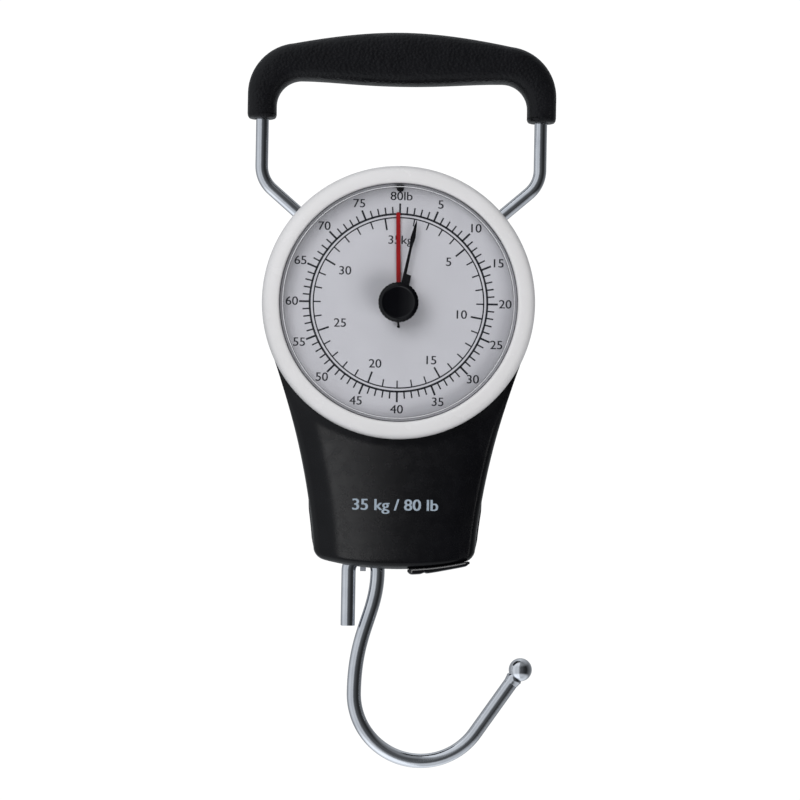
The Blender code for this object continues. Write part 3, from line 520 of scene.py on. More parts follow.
def clear_lens():
    """Clear moulded window: see-through, glossy, and darker where it is looked at edge-on."""
    look = Look("clear_lens", (1, 1, 1), 0.05)
    facing = look.add("LayerWeight", {"Blend": 0.5}).outputs["Facing"]
    edge_on = look.spread(facing, 0, 1, 0.5, 0.72)
    tone = look.mix(edge_on, (0.985, 0.985, 0.99, 1), (0.10, 0.10, 0.11, 1))
    see = look.add("BsdfTransparent", {"Color": tone})
    gloss = look.add("BsdfGlossy", {"Roughness": look.spread(look.noise(6, 3), 0.03, 0.07)})
    glance = look.math("POWER", facing, 4.0)
    mirror = look.math("ADD", look.math("MULTIPLY", glance, 0.45), 0.03)
    blend_shaders(look.tree, mirror, see.outputs["BSDF"], gloss.outputs["BSDF"])
    return look


# Pale colour for the painted highlight along the lens edge.
def painted_edge_highlight():
    look = Look("painted_edge_highlight", (0.66, 0.66, 0.68), 0.3)
    look.tint(look.noise(3, 2), (0.6, 0.6, 0.62), (0.72, 0.72, 0.74))
    return look.rough(look.noise(1, 3), 0.22, 0.4)


LOOKS = {look.name: look for look in (
    grip_plastic(),
    black_plastic("housing_plastic", (0.0018, 0.0018, 0.0026), (0.23, 0.30), 0.3, 0.02),
    chrome(),
    metal("spring_steel", (0.55, 0.56, 0.58), (0.2, 0.34)),
    # sheet steel darkened to paint the shade on the drawbar, the piece of it that shows
    metal("sheet_steel", (0.26, 0.26, 0.28), (0.26, 0.42), (1, 1, 9)),
    metal("zinc_screw", (0.58, 0.59, 0.6), (0.22, 0.4), (9, 1, 9)),
    metal("brass_bush", (0.72, 0.52, 0.22), (0.18, 0.34), (6, 1, 6)),
    bezel_white(),
    clear_lens(),
    painted_edge_highlight(),
    grey_plastic(),
    dial_silver(),
    pointer_red(),
    gloss_black("knob_black", 0.28),
    gloss_black("tab_black", 0.6),
    tape_cloth("tape_yellow", False),
    tape_cloth("tape_marked", True),
    ink(),
    pale_print(),
)}


def paint(made, look):
    made.data.materials.clear()
    made.data.materials.append(LOOKS[look].material)


def finish_piece(made, look, body, nodes=()):
    """Paints a piece, hangs it on its body and lets it stand for its CAD nodes."""
    paint(made, look)
    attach(made, body)
    if nodes:
        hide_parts(*nodes)


# ---------------- grip and bail

# The rounded end of a leg: height above the end, and how far the section is drawn in there
END_ROUND = ((1.5, 0.0), (0.7, 0.12), (0.2, 0.45), (0.0, 1.1))


def grip_section(outer, inner, squareness=0.62, sides=40):
    """A rounded section between a point on the grip's outer line and one on its inner line."""
    a, b = Vector(outer), Vector(inner)
    middle, half = (a + b) / 2, (a - b) / 2
    made = []
    for k in range(sides):
        c, s = math.cos(TAU * k / sides), math.sin(TAU * k / sides)
        along = math.copysign(abs(c) ** squareness, c)
        across = math.copysign(abs(s) ** squareness, s)
        spot = middle + half * along
        made.append((spot.x, GRIP_HALF_DEPTH * across, spot.y))
    return made


def grip():
    """Moulded grip: a bellied bar that bends into two legs, swept between two edge lines."""
    shoulder = arc(SHOULDER, GRIP_OUTER - SHOULDER[0], 84, 0, 16)
    palm = arc(PALM, PALM_R, 90, 0, 16)
    bend = shoulder[0]
    top = bezier((0, GRIP_TOP), (12, GRIP_TOP), (bend[0] - 10.2, bend[1] + 2.0), bend, 20)
    belly = bezier((0, HANG_HEIGHT), (14, HANG_HEIGHT), (22, palm[0][1]), palm[0], 20)

    def leg(x, z):
        """An edge of the leg, from below this point to its end."""
        return [(x, z + (GRIP_END - z) * i / 8) for i in range(1, 9)]

    outer = top + shoulder[1:] + leg(*shoulder[-1])
    inner = belly + palm[1:] + leg(*palm[-1])
    ends = []
    for depth, shrink in END_ROUND:
        level = GRIP_END + depth
        loop = grip_section((GRIP_OUTER - shrink, level), (palm[-1][0] + shrink, level))
        keep = 1 - shrink / GRIP_HALF_DEPTH
        ends.append([(x, y * keep, z) for x, y, z in loop])
    half = [grip_section(a, b) for a, b in zip(outer, inner)]
    round_from = GRIP_END + END_ROUND[0][0]
    half = [loop for loop in half if loop[0][2] > round_from] + ends
    left = [[(-x, y, z) for x, y, z in loop] for loop in half[1:]]
    made = skin("grip", left[::-1] + half, sharp=60)
    holes = [bar(f"wire_hole_{side}", (sign * LEG_X, 0, GRIP_END - 2),
                 (sign * LEG_X, 0, GRIP_END + 7), WIRE_R + 0.35) for side, sign in SIDES]
    return carve(made, "DIFFERENCE", holes, sharp=60)


def bail_path():
    """Centre line of the bail: level ends in the housing, slanted runs, legs and a top bar."""
    foot, knee, top = BAIL_FOOT, BAIL_KNEE, (LEG_X, 76.0)
    half = [(21.0, foot[1])]
    bends = ((foot, half[0], knee, 2.2), (knee, foot, top, 4.5), (top, knee, (0, top[1]), 11.0))
    for corner, before, after, size in bends:
        here = Vector(corner)
        start = here + (Vector(before) - here).normalized() * size
        end = here + (Vector(after) - here).normalized() * size
        half += bezier(start, here.lerp(start, 0.35), here.lerp(end, 0.35), end, 12)
    return [(-x, 0, z) for x, z in half] + [(x, 0, z) for x, z in reversed(half)]


def build_handle():
    finish_piece(grip(), "grip_plastic", "housing", ["handle_grip"])
    finish_piece(tube("bail", bail_path(), WIRE_R, 40, 0.4), "chrome_wire", "housing", ["handle_wire"])


# ---------------- housing

def bottom_z(x):
    return BOTTOM_Z + BOTTOM_R - math.sqrt(BOTTOM_R ** 2 - x * x)


CORNER_C = CORNER_X - CORNER_R
CORNER_Z = BOTTOM_Z + BOTTOM_R - math.sqrt((BOTTOM_R - CORNER_R) ** 2 - CORNER_C ** 2)
LEAVE = (HEAD_R * math.cos(SIDE_ANGLE), HEAD_R * math.sin(SIDE_ANGLE))
WAIST = bezier(
    LEAVE, (LEAVE[0] + 18 * math.sin(SIDE_ANGLE), LEAVE[1] - 18 * math.cos(SIDE_ANGLE)),
    (CORNER_X + 1.5, CORNER_Z + 22), (CORNER_X, CORNER_Z), 60)


def half_width(z):
    """Half the width of the housing at a height above the corners of its bottom."""
    if z >= LEAVE[1]:
        return math.sqrt(max(0.0, HEAD_R ** 2 - z * z))
    for (x1, z1), (x2, z2) in zip(WAIST, WAIST[1:]):
        if z >= z2:
            return x1 + (x2 - x1) * (z1 - z) / (z1 - z2)
    return CORNER_C + math.sqrt(max(0.0, CORNER_R ** 2 - (CORNER_Z - z) ** 2))


def heights():
    """Rows down the housing: close together round the top and at the bottom corners."""
    head = [HEAD_R * math.cos(math.radians(a)) for a in range(0, 108, 3)]
    rest = [LEAVE[1] + (CORNER_Z - LEAVE[1]) * i / 44 for i in range(1, 45)]
    corner = [CORNER_Z - CORNER_R * math.sin(math.radians(a)) for a in (15, 30, 45, 60, 72, 82, 90)]
    return [z for z in head if z > LEAVE[1] + 0.3] + [LEAVE[1]] + rest + corner


def shell(name, depth_of, parting, swell):
    """Half of the housing: a fine height field for its face, walls to the parting, and an inside.

    The halves meet on the inside of the wall, and leave a groove open on its outside.
    """
    columns = 56
    across = [-math.cos(math.pi * i / columns) for i in range(columns + 1)]
    lowest = CORNER_Z - CORNER_R
    inward = 1 if parting < 0 else -1
    shrink = (HEAD_R - WALL) / HEAD_R
    bm = bmesh.new()
    within = bm.verts.layers.int.new("within")
    outside, inside = [], []
    for z in heights():
        wide = half_width(z) + swell(z)
        sag = fade(z, -60, lowest)
        outer, inner = [], []
        for u in across:
            x = u * wide
            height = z + sag * (bottom_z(x) - lowest)
            edge = HEAD_R - math.hypot(x, z) if z > 0 else wide - abs(x)
            foot = max(0.0, height - bottom_z(x))
            y = depth_of(x, height, max(0.0, edge), foot)
            outer.append((x, y, height))
            narrow = shrink * wide if z > LEAVE[1] else wide - WALL
            level = height * shrink if z > 0 else height + WALL * fade(z, -70, lowest)
            inner.append((u * narrow, y + inward * WALL, level))
        outside.append(outer)
        inside.append(inner)
    for rows, flip in ((outside, False), (inside, True)):
        verts = [[bm.verts.new(at(*spot)) for spot in row] for row in rows]
        for vert in (v for row in verts for v in row):
            vert[within] = flip
        for first, second in zip(verts, verts[1:]):
            for i in range(len(first) - 1):
                quad = (first[i], first[i + 1], second[i + 1], second[i])
                bm.faces.new(quad[::-1] if flip else quad)
    bmesh.ops.remove_doubles(bm, verts=bm.verts, dist=1e-6)
    rim = [e for e in bm.edges if e.is_boundary]
    steps = 5
    for i in range(steps):
        grown = bmesh.ops.extrude_edge_only(bm, edges=rim)["geom"]
        rim = [g for g in grown if isinstance(g, bmesh.types.BMEdge)]
        for vert in {v for e in rim for v in e.verts}:
            target = 0.0 if vert[within] else parting * MM
            vert.co.y += (target - vert.co.y) / (steps - i)
    bmesh.ops.bridge_loops(bm, edges=rim)
    bmesh.ops.triangulate(bm, faces=[f for f in bm.faces if len(f.verts) > 4])
    bmesh.ops.recalc_face_normals(bm, faces=bm.faces)
    return object_from(name, bm, 50)


def soft_ramp(value, width):
    """Zero below zero and equal to the value above it, with a rounded corner between."""
    return (value + math.sqrt(value * value + width * width)) / 2


def quarter_round(edge, width):
    """How far a rounded rim falls at this distance from its edge, as a share of its depth."""
    t = min(1.0, edge / width)
    return 1 - math.sqrt(1 - (1 - t) ** 2)


FACET = 6.8                    # width of the sloped facet down each side of the front
FACET_SLOPE = 0.36
CROWN = 0.95
# Rounded rims, as depth and width
SIDE_RIM = (3.3, 2.0)
HEAD_RIM = (0.6, 0.6)
FOOT_RIM = (3.2, 2.2)
BACK_RIM = (5.4, 5.0)
COLLAR = (0.7, 2.6)            # rise of the front where it meets the bezel


def front_depth(x, z, edge, foot):
    """Front face: crowned, with a sloped facet down each side and a rounded rim and foot."""
    body = fade(z, -24, -44)
    wide = max(1.0, half_width(max(z, CORNER_Z)))
    crown = CROWN * min(1.0, abs(x) / (wide - FACET)) ** 2
    slope = FACET_SLOPE * soft_ramp(FACET - edge, 0.9)
    waist = crown + slope + SIDE_RIM[0] * quarter_round(edge, SIDE_RIM[1])
    side = body * waist + (1 - body) * quarter_round(edge, HEAD_RIM[1]) * HEAD_RIM[0]
    low = FOOT_RIM[0] * (1 - min(1.0, foot / FOOT_RIM[1])) ** 2.2
    away = math.hypot(x, z) - BEZEL_R
    collar = COLLAR[0] * fade(z, -18, -26) * max(0.0, 1 - max(0.0, away) / COLLAR[1]) ** 2
    return FRONT_Y - 0.1 * body + (side ** 3 + low ** 3) ** (1 / 3) - collar * fade(edge, 0.5, 3)


def back_depth(x, z, edge, foot):
    """Back face: flat, with a wide round rim."""
    return BACK_Y - BACK_RIM[0] * quarter_round(min(edge, foot * 1.6), BACK_RIM[1]) ** 1.1


def bump_out(z):
    """The rear shell stands a little proud of the front one beside the reel."""
    return 0.5 * fade(z, -60, -66) * fade(z, -79, -74)


SCREW_SPOTS = [spot_of(f"housing_screw_{i}")[::2] for i in range(1, 6)]
MOUTH = ((-18.6, -0.9), (-7.5, 7.5), (-92, -76))   # the opening that the hook swings in


def wire_bores():
    """Tools for the two bores that the slanted runs of the bail pass through."""
    return [bar(f"{side}_bore", (sign * BAIL_KNEE[0], 0, BAIL_KNEE[1]),
                (sign * BAIL_FOOT[0], 0, BAIL_FOOT[1]), WIRE_R + 0.4) for side, sign in SIDES]


def front_shell():
    made = shell("front_shell", front_depth, -PARTING, lambda z: 0.0)
    x, y, _ = spot_of("tape_blade")
    slot = box("blade_slot", (x - 4.8, x + 4.8), (y - 0.8, y + 0.8), (-92, -77))
    window = lathe("window", [(0, 6), (31, 6), (31, 14), (0, 14)], 96)
    return carve(made, "DIFFERENCE", [box("mouth", *MOUTH), slot, window] + wire_bores(), 50)


def rear_shell():
    made = shell("rear_shell", back_depth, PARTING, bump_out)
    posts = [bar("post", (x, 9.0, z), (x, BACK_Y - 0.6, z), 4.0) for x, z in SCREW_SPOTS]
    carve(made, "UNION", posts, 50)
    profile = [(0, -7), (1.45, -7), (1.45, -12.1), (2.8, -12.1), (2.8, -14.5), (3.3, -15.4), (0, -15.4)]
    wells = [lathe("well", profile, 48, (x, 0, z)) for x, z in SCREW_SPOTS]
    return carve(made, "DIFFERENCE", [box("mouth", *MOUTH)] + wells + wire_bores(), 50)


def screw(i, x, z):
    """Pan-head screw with a cross recess, seen from the back."""
    profile = [(0, -7.6), (1.1, -7.6), (1.1, -12.2), (2.45, -12.2), (2.45, -13.0), (1.7, -13.6), (0, -13.7)]
    made = lathe(f"case_screw_{i}", rounded(profile, [0, 0.2, 0, 0.15, 0.5, 0.6, 0]), 40, (x, 0, z))
    long, thin = 1.35, 0.24
    corners = [(long, thin), (-long, thin), (-long, -thin), (long, -thin)]
    for k in range(2):
        spots = turned(corners, math.radians(17 + 41 * i) + k * math.pi / 2, (x, z))
        slot = skin("slot", [[(px, y, pz) for px, pz in spots] for y in (12.7, 14.5)])
        carve(made, "DIFFERENCE", [slot])
    return made


def caption():
    """A plain capacity print, laid on the curved front."""
    made = lettering("capacity_print", "35 kg / 80 lb", 3.1, 0, 0, bold=0.12)
    for vert in made.data.vertices:
        x, z = vert.co.x / MM, (vert.co.z - DIAL_Z) / MM - 63.0
        lift = vert.co.y / MM
        vert.co = at(x, front_depth(x, z, half_width(z) - abs(x), 20) + lift - 0.02, z)
    return made


def build_housing():
    finish_piece(front_shell(), "housing_plastic", "housing", ["front_housing"])
    finish_piece(rear_shell(), "housing_plastic", "housing", ["rear_housing"])
    for i, (x, z) in enumerate(SCREW_SPOTS, 1):
        finish_piece(screw(i, x, z), "zinc_screw", "housing", [f"housing_screw_{i}"])
    finish_piece(caption(), "print_pale", "housing")


# ---------------- dial

FIGURE_SHARE = 0.62            # height of a figure as a share of the type size
FIGURE_WIDTH = 1.08            # how far the typeface is widened


def lettering(name, text, height, x, z, y=0.0, bold=0.045):
    """Upright print whose figures are this high, struck twice a little apart to make it bolder."""
    curve = bpy.data.curves.new(name, "FONT")
    curve.body = text
    curve.align_x = "CENTER"
    curve.size = height / FIGURE_SHARE * MM
    curve.extrude = 0.02 * MM
    curve.resolution_u = 6
    source = add_object(name + "_text", curve)
    bpy.context.view_layer.update()
    mesh = baked(source)
    bpy.data.objects.remove(source)
    upright = Matrix.Rotation(math.pi / 2, 4, "X") @ Matrix.Diagonal((FIGURE_WIDTH, 1, 1, 1))
    prints = []
    for k, side in enumerate((-1, 1)):
        struck = mesh.copy()
        place = at(x + side * bold, y - 0.002 * k, z - height / 2)
        struck.transform(Matrix.Translation(place) @ upright)
        prints.append(add_object(name + "_pass", struck))
    return merge(name, prints)


PRINT_FOOT = 0.005             # how far a print reaches into the dial, and stands out of it
PRINT_TOP = 0.03
FIGURE_HEIGHT = 2.35


def tick(angle, inner, outer, width):
    """A line of the scale, as a thin box that points away from the centre."""
    a = math.radians(angle)
    along = Vector((math.sin(a), math.cos(a)))
    side = Vector((along.y, -along.x)) * width / 2
    corners = [along * inner + side, along * outer + side, along * outer - side, along * inner - side]
    levels = (DIAL_FRONT + PRINT_FOOT, DIAL_FRONT - PRINT_TOP)
    return skin("tick", [[(c.x, y, c.y) for c in corners] for y in levels])


def printed_ring(radius, width):
    foot, top = -DIAL_FRONT - PRINT_FOOT, -DIAL_FRONT + PRINT_TOP
    outer = radius + width
    return lathe("ring", [(radius, foot), (outer, foot), (outer, top), (radius, top)], 180)


def figure(name, text, away, degrees):
    """A number of a scale, upright, this far from the centre and at this angle from the top."""
    a = math.radians(degrees)
    return lettering(name, text, FIGURE_HEIGHT, away * math.sin(a), away * math.cos(a), DIAL_FRONT)


def scale_ring(name, ring, count, degrees, long, short, widths):
    """A ring with its lines, each from one radius to another. Every fifth line is a long one."""
    lines = [printed_ring(*ring)]
    for k in count:
        fifth = k % 5 == 0
        lines.append(tick(degrees * k, *(long if fifth else short), widths[0 if fifth else 1]))
    return merge(name, lines)


def dial_prints():
    """Two scales on one dial: pounds outside, 80 to a turn, and kilograms inside, 36 to a turn."""
    scales = [scale_ring("pound_scale", (27.3, 0.62), range(80), 4.5,
                         (27.5, 30.9), (27.5, 29.9), (0.6, 0.45)),
              scale_ring("kilogram_scale", (26.3, 0.4), range(1, 36), 10,
                         (22.9, 26.5), (24.2, 26.5), (0.55, 0.42))]
    numbers = [figure(f"lb_{k}", str(5 * k), 33.2, 22.5 * k) for k in range(1, 16)]
    numbers.append(lettering("lb_80", "80lb", FIGURE_HEIGHT, 0.4, 33.1, DIAL_FRONT))
    numbers += [figure(f"kg_{k}", str(5 * k), away, 50 * k)
                for k, away in enumerate((20.1, 19.7, 20.5, 20.3, 19.2, 19.4), 1)]
    numbers.append(lettering("kg_35", "35kg", FIGURE_HEIGHT, 0.2, 19.5, DIAL_FRONT))
    return scales + [merge("dial_figures", numbers)]


def bezel():
    """Round-nosed ring: straight outside, a broad front face and a crisp lip over the lens."""
    nose = bezier((BEZEL_R, 14.4), (BEZEL_R - 0.02, 16.6), (41.7, 17.9), (40.0, 18.3), 16)
    face = bezier((40.0, 18.3), (39.2, 18.5), (38.4, -BEZEL_FRONT), (37.6, 18.5), 10)
    roll = bezier((37.6, 18.5), (37.25, 18.42), (BEZEL_INNER_R, 18.2), (BEZEL_INNER_R, 17.8), 8)
    lip = [(BEZEL_INNER_R, 16.6), (BEZEL_INNER_R + 0.12, 16.4), (38.6, 16.4), (38.6, -BEZEL_BACK)]
    base = [(BEZEL_R - 0.35, -BEZEL_BACK), (BEZEL_R, -BEZEL_BACK + 0.35)]
    return lathe("bezel", nose + face[1:] + roll[1:] + lip + base, 192)


def lens():
    """Clear window with a raised middle, held by its flange under the bezel."""
    front = -LENS_FRONT
    flange = front - 0.9
    profile = [(2.3, front), (35.85, front), (36.2, flange), (36.72, flange), (36.82, front - 1.25),
               (36.92, flange), (LENS_R, flange), (LENS_R, 14.7), (35.7, 14.7), (35.6, 15.3), (2.3, 15.3)]
    return lathe("lens", rounded(profile, [0.15, 0.15, 0.1, 0, 0, 0, 0.1, 0.1, 0.2, 0.2, 0.1]), 160)


def lens_highlight_ring():
    """A pale ring round the edge of the window's raised middle: a painted highlight along the lens edge."""
    front = -LENS_FRONT
    profile = [(35.74, front + 0.01), (36.02, front - 0.04), (36.06, front - 0.5), (35.9, front - 0.5)]
    return lathe("lens_highlight_ring", rounded(profile, 0.06), 160)


def dial_disc():
    """The dial card itself, with a crisp edge."""
    back = -reach("dial_plate", 1, 1)
    profile = rounded([(2.6, back), (DIAL_R, back), (DIAL_R, -DIAL_FRONT), (2.6, -DIAL_FRONT)], 0.08)
    return lathe("dial", profile, 160)


# Where the hands stand at rest, in radians anticlockwise from the top
MAIN_TURN = math.radians(1.1)
PEAK_TURN = -math.radians(11.6)
HAND_R = 28.2                  # reach of the red hand
HAND_HALF = 0.66               # half the width of its blade


def span(node):
    return reach(node, 1, 1), reach(node, 1, 0)


def main_pointer():
    """Red hand: a parallel blade with a round end, on a small hub."""
    hub = arc((0, 0), 2.8, 76, -256, 40)
    tip = arc((0, HAND_R - HAND_HALF), HAND_HALF, 170, 10, 10)
    return plate("red_pointer", turned(hub + tip, MAIN_TURN), *span("main_pointer"))


def pointer_tail():
    """Black counterweight under the red hand, ending in a narrow tail."""
    hub = arc((0, 0), 3.2, -97, 257, 40)
    outline = hub + [(-0.35, -7.0), (-0.55, -7.5), (-0.1, -7.9), (0.45, -7.75), (0.35, -7.0)]
    return plate("pointer_tail", turned(outline, MAIN_TURN), *span("pointer_hub"))


def peak_pointer():
    """Black hand with a square drag tab at its foot and a slight arrow near its tip."""
    hub = arc((0, 0), 3.4, 50, -261, 40)
    blade = [(-0.5, 8.0), (-0.42, 17.5), (-0.78, 20.6), (-0.36, 24.6), (0, 26.5), (0.36, 24.6),
             (0.78, 20.6), (0.42, 17.5), (0.55, 9.25), (2.05, 9.05)]
    return plate("black_pointer", turned(hub + blade, PEAK_TURN), *span("peak_pointer"))


FLUTES = 32
FLUTE_DEPTH = 0.03             # as a share of the radius
FLUTED_FROM = 5.7              # radius at which they begin


def knob():
    """Glossy setting knob with a dished face, a bevelled rim and fine flutes round its side."""
    front, back = -KNOB_FRONT, -KNOB_BACK
    dish = [(0.0, 0.34), (4.6, 0.34), (4.72, 0.3), (4.85, 0.2), (4.98, 0.04), (5.1, 0.0)]
    bevel = [(5.22, 0.03), (5.36, 0.2), (5.46, 0.32), (5.95, 0.36),
             (KNOB_R - 0.12, 0.46), (KNOB_R - 0.03, 0.58), (KNOB_R, 0.75)]
    profile = [(r, front - fall) for r, fall in dish + bevel]
    profile += [(KNOB_R, back + 0.5), (KNOB_R - 0.2, back + 0.15), (KNOB_R - 0.6, back), (0.0, back)]
    made = lathe("setting_knob", profile, 192, sharp=50)
    for vert in made.data.vertices:
        x, z = vert.co.x, vert.co.z - DIAL_Z
        radius = math.hypot(x, z) / MM
        if radius > FLUTED_FROM:
            wave = max(0.0, math.cos(FLUTES * math.atan2(z, x))) ** 3
            keep = 1 - FLUTE_DEPTH * wave * fade(radius, FLUTED_FROM, 6.1)
            vert.co.x *= keep
            vert.co.z = DIAL_Z + z * keep
    return made


def locating_key():
    outline = [(1.15, 36.6)] + arc((0, 35.6), 1.15, 0, -180, 16) + [(-1.15, 36.6)]
    return plate("locating_key", outline, *span("dial_locating_key"))


def build_dial():
    finish_piece(dial_disc(), "dial_silver", "housing", ["dial_plate"])
    for piece in dial_prints():
        finish_piece(piece, "print_black", "housing")
    finish_piece(bezel(), "bezel_white", "housing", ["bezel_ring"])
    finish_piece(lens(), "clear_lens", "housing", ["dial_lens"])
    finish_piece(lens_highlight_ring(), "painted_edge_highlight", "housing")
    finish_piece(locating_key(), "knob_black", "housing", ["dial_locating_key"])
    finish_piece(main_pointer(), "pointer_red", "main_pointer_set", ["main_pointer"])
    finish_piece(pointer_tail(), "knob_black", "main_pointer_set", ["pointer_hub"])
    finish_piece(peak_pointer(), "knob_black", "peak_pointer_set", ["peak_pointer"])
    finish_piece(knob(), "knob_black", "peak_pointer_set", ["peak_knob"])


# ---------------- hook, springs and tape

def hook_path():
    """Centre line of the load hook: an arch through the eye, a long leg and a round bend."""
    short_x, long_x, bend, bend_r = -14.2, -5.1, (9.1, -122.4), 21.0
    rise, tip_run = math.radians(55.4), 24.0
    arch_r = (long_x - short_x) / 2
    arch_z = EYE_Z - arch_r
    points = [(short_x, -101.3), (short_x, -97), (short_x, -92), (short_x, -87.5)]
    points += arc(((long_x + short_x) / 2, arch_z), arch_r, 180, 0, 32)
    foot = (bend[0] - bend_r, bend[1])
    points += bezier((long_x, arch_z), (long_x, arch_z - 14), (foot[0], foot[1] + 20), foot, 30)[1:]
    points += arc(bend, bend_r, 180, 270 + math.degrees(rise), 56)[1:]
    end = Vector(points[-1])
    aim = Vector((math.cos(rise), math.sin(rise)))
    points += [tuple(end + aim * tip_run * i / 8) for i in range(1, 9)]
    return [(x, 0, z) for x, z in points]


def ball_tip():
    """Round bead on the end of the hook, with a soft collar where the wire runs in."""
    tip, before = Vector(hook_path()[-1]), Vector(hook_path()[-2])
    aim = (tip - before).normalized()
    centre = tip + aim * 0.4
    radius = (reach("hook_ball_tip", 1, 1) - reach("hook_ball_tip", 1, 0)) / 2
    across = Vector((0, 1, 0))
    side = aim.cross(across)
    outline = [(-5.2, HOOK_R + 0.02), (-4.6, HOOK_R + 0.12), (-3.9, HOOK_R + 0.22), (-3.4, HOOK_R + 0.38)]
    outline += [(-radius * math.cos(math.radians(a)), radius * math.sin(math.radians(a)))
                for a in range(40, 181, 10)]
    spokes = [across * math.cos(TAU * i / 48) + side * math.sin(TAU * i / 48) for i in range(48)]
    loops = [[tuple(centre + aim * along + spoke * max(size, 0.02)) for spoke in spokes]
             for along, size in outline]
    return skin("hook_bead", loops, sharp=60)


def coil_spring(side):
    """Close-wound extension spring with a hook at each end."""
    _, y, low_z = spot_of("crosshead_rod")
    high_z = spot_of("spring_anchor_rod")[2]
    coil_r, wire_r, turns, steps, hook_r, hook_rise = 3.3, 0.55, 24, 20, 2.4, 4.3
    start, end = low_z + hook_rise, high_z - hook_rise
    coil = []
    for i in range(turns * steps + 1):
        a = math.pi / 2 + TAU * i / steps
        height = start + (end - start) * i / (turns * steps)
        coil.append((coil_r * math.cos(a), coil_r * math.sin(a), height))
    upper = [(0, -math.cos(math.radians(d)) * hook_r, high_z + math.sin(math.radians(d)) * hook_r)
             for d in range(180, -41, -14)]
    lower = [(across, deep, high_z + low_z - z) for across, deep, z in reversed(upper)]
    middle = spot_of(f"spring_{side}")[0]
    path = [(middle + across, y + deep, z) for across, deep, z in lower + coil[2:-2] + upper]
    made = tube(f"extension_spring_{side}", path, wire_r, 10, 0.1)
    paint(made, "spring_steel")
    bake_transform(made)
    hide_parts(f"spring_{side}")


def blade():
    """The free stretch of the tape, from the reel down to the tab."""
    low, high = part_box("tape_blade")
    x = (low.x / MM, high.x / MM)
    y = (low.y + high.y) / 2 / MM
    top = (high.z - DIAL_Z) / MM
    rows, cup, thick, lap = 40, 0.22, 0.16, 1.1
    loops = []
    for i in range(rows + 1):
        face = []
        for k in range(9):
            px = x[0] + (x[1] - x[0]) * k / 8
            bow = cup * (1 - ((px - x[0]) / (x[1] - x[0]) * 2 - 1) ** 2)
            face.append((px, y - thick / 2 - bow, top + (bottom_z(px) - lap - top) * i / rows))
        loops.append(face + [(px, py + thick, pz) for px, py, pz in reversed(face)])
    made = skin("tape_strip", loops)
    paint(made, "tape_marked")
    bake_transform(made)
    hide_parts("tape_blade")


def pull_tab():
    """Glossy pull tab that hugs the curved bottom, thicker and notched at its left end."""
    low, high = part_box("tape_tab")
    x0, x1 = low.x / MM, high.x / MM
    back, front = high.y / MM, low.y / MM
    steps, taper = 40, 1.6
    loops = []
    for i in range(steps + 1):
        u = (1 - math.cos(math.pi * i / steps)) / 2
        x = x0 + (x1 - x0) * u
        ends = min(1.0, (x - x0) / taper, (x1 - x) / taper)
        size = math.sqrt(max(0.0, 1 - (1 - ends) ** 2)) * 0.86 + 0.14
        top = bottom_z(x) - 0.3
        low = top - (1.75 - 0.35 * fade(u, 0.2, 0.75)) * size + 0.35 * fade(abs(x - 9.4), 0.9, 0.2)
        draw = 1.1 * (1 - size)
        lip = 0.45 * fade(ends, 0, 0.4)
        face = front + draw
        section = [(back - draw, top), (face + 0.7, top), (face + 0.4, top + lip), (face + 0.14, top + lip),
                   (face, top + lip - 0.7), (face, low + 0.4), (back - draw - 0.3, low)]
        radii = [0.3, 0.1, 0.1, 0.1, 0.15, 0.6, 0.5]
        loops.append([(x, y, z) for y, z in rounded(section, radii, 5)])
    return skin("pull_tab", loops, sharp=60)


def build_moving():
    finish_piece(tube("load_hook", hook_path(), HOOK_R, 48, 0.2), "chrome_wire", "hook", ["hook_wire"])
    finish_piece(ball_tip(), "chrome_wire", "hook", ["hook_ball_tip"])
    for side, sign in SIDES:
        coil_spring(side)
    blade()
    finish_piece(pull_tab(), "tab_black", "tape_pull_tab", ["tape_tab"])


def paint_frame():
    """Every CAD node that stays in view takes the material of its slot."""
    for row in frame["record"]["subparts"]:
        node = frame["nodes"][row["node"]]
        for slot in node.material_slots:
            slot.material = LOOKS[row["material_slot"]].material


# ---------------- studio

MIDDLE = Vector((0, 0, -0.1))
FLOOR_Z = -1.3                 # metres: below the tab of a fully drawn tape


def soft_light(name, width, height, centre, power):
    """A rectangular light that faces the middle of the scale."""
    light = bpy.data.lights.new(name, "AREA")
    light.shape = "RECTANGLE"
    light.size, light.size_y = width, height
    light.energy = power
    made = add_object(name, light)
    made.location = centre
    made.rotation_euler = (MIDDLE - Vector(centre)).to_track_quat("-Z", "Y").to_euler()
    return made


# Brightness of the tent round the scale, by degrees from the front towards the left side
TENT = ((0, 0.14), (10, 0.30), (20, 0.66), (47, 0.60), (64, 0.74), (95, 0.66), (108, 0.42), (125, 0.32),
        (150, 0.35), (180, 0.45), (215, 0.30), (240, 0.20), (262, 0.13), (280, 0.07), (296, 0.02),
        (313, 0.03), (329, 0.05), (345, 0.09))
TENT_TOP = 0.18
TENT_FOOT = 0.55


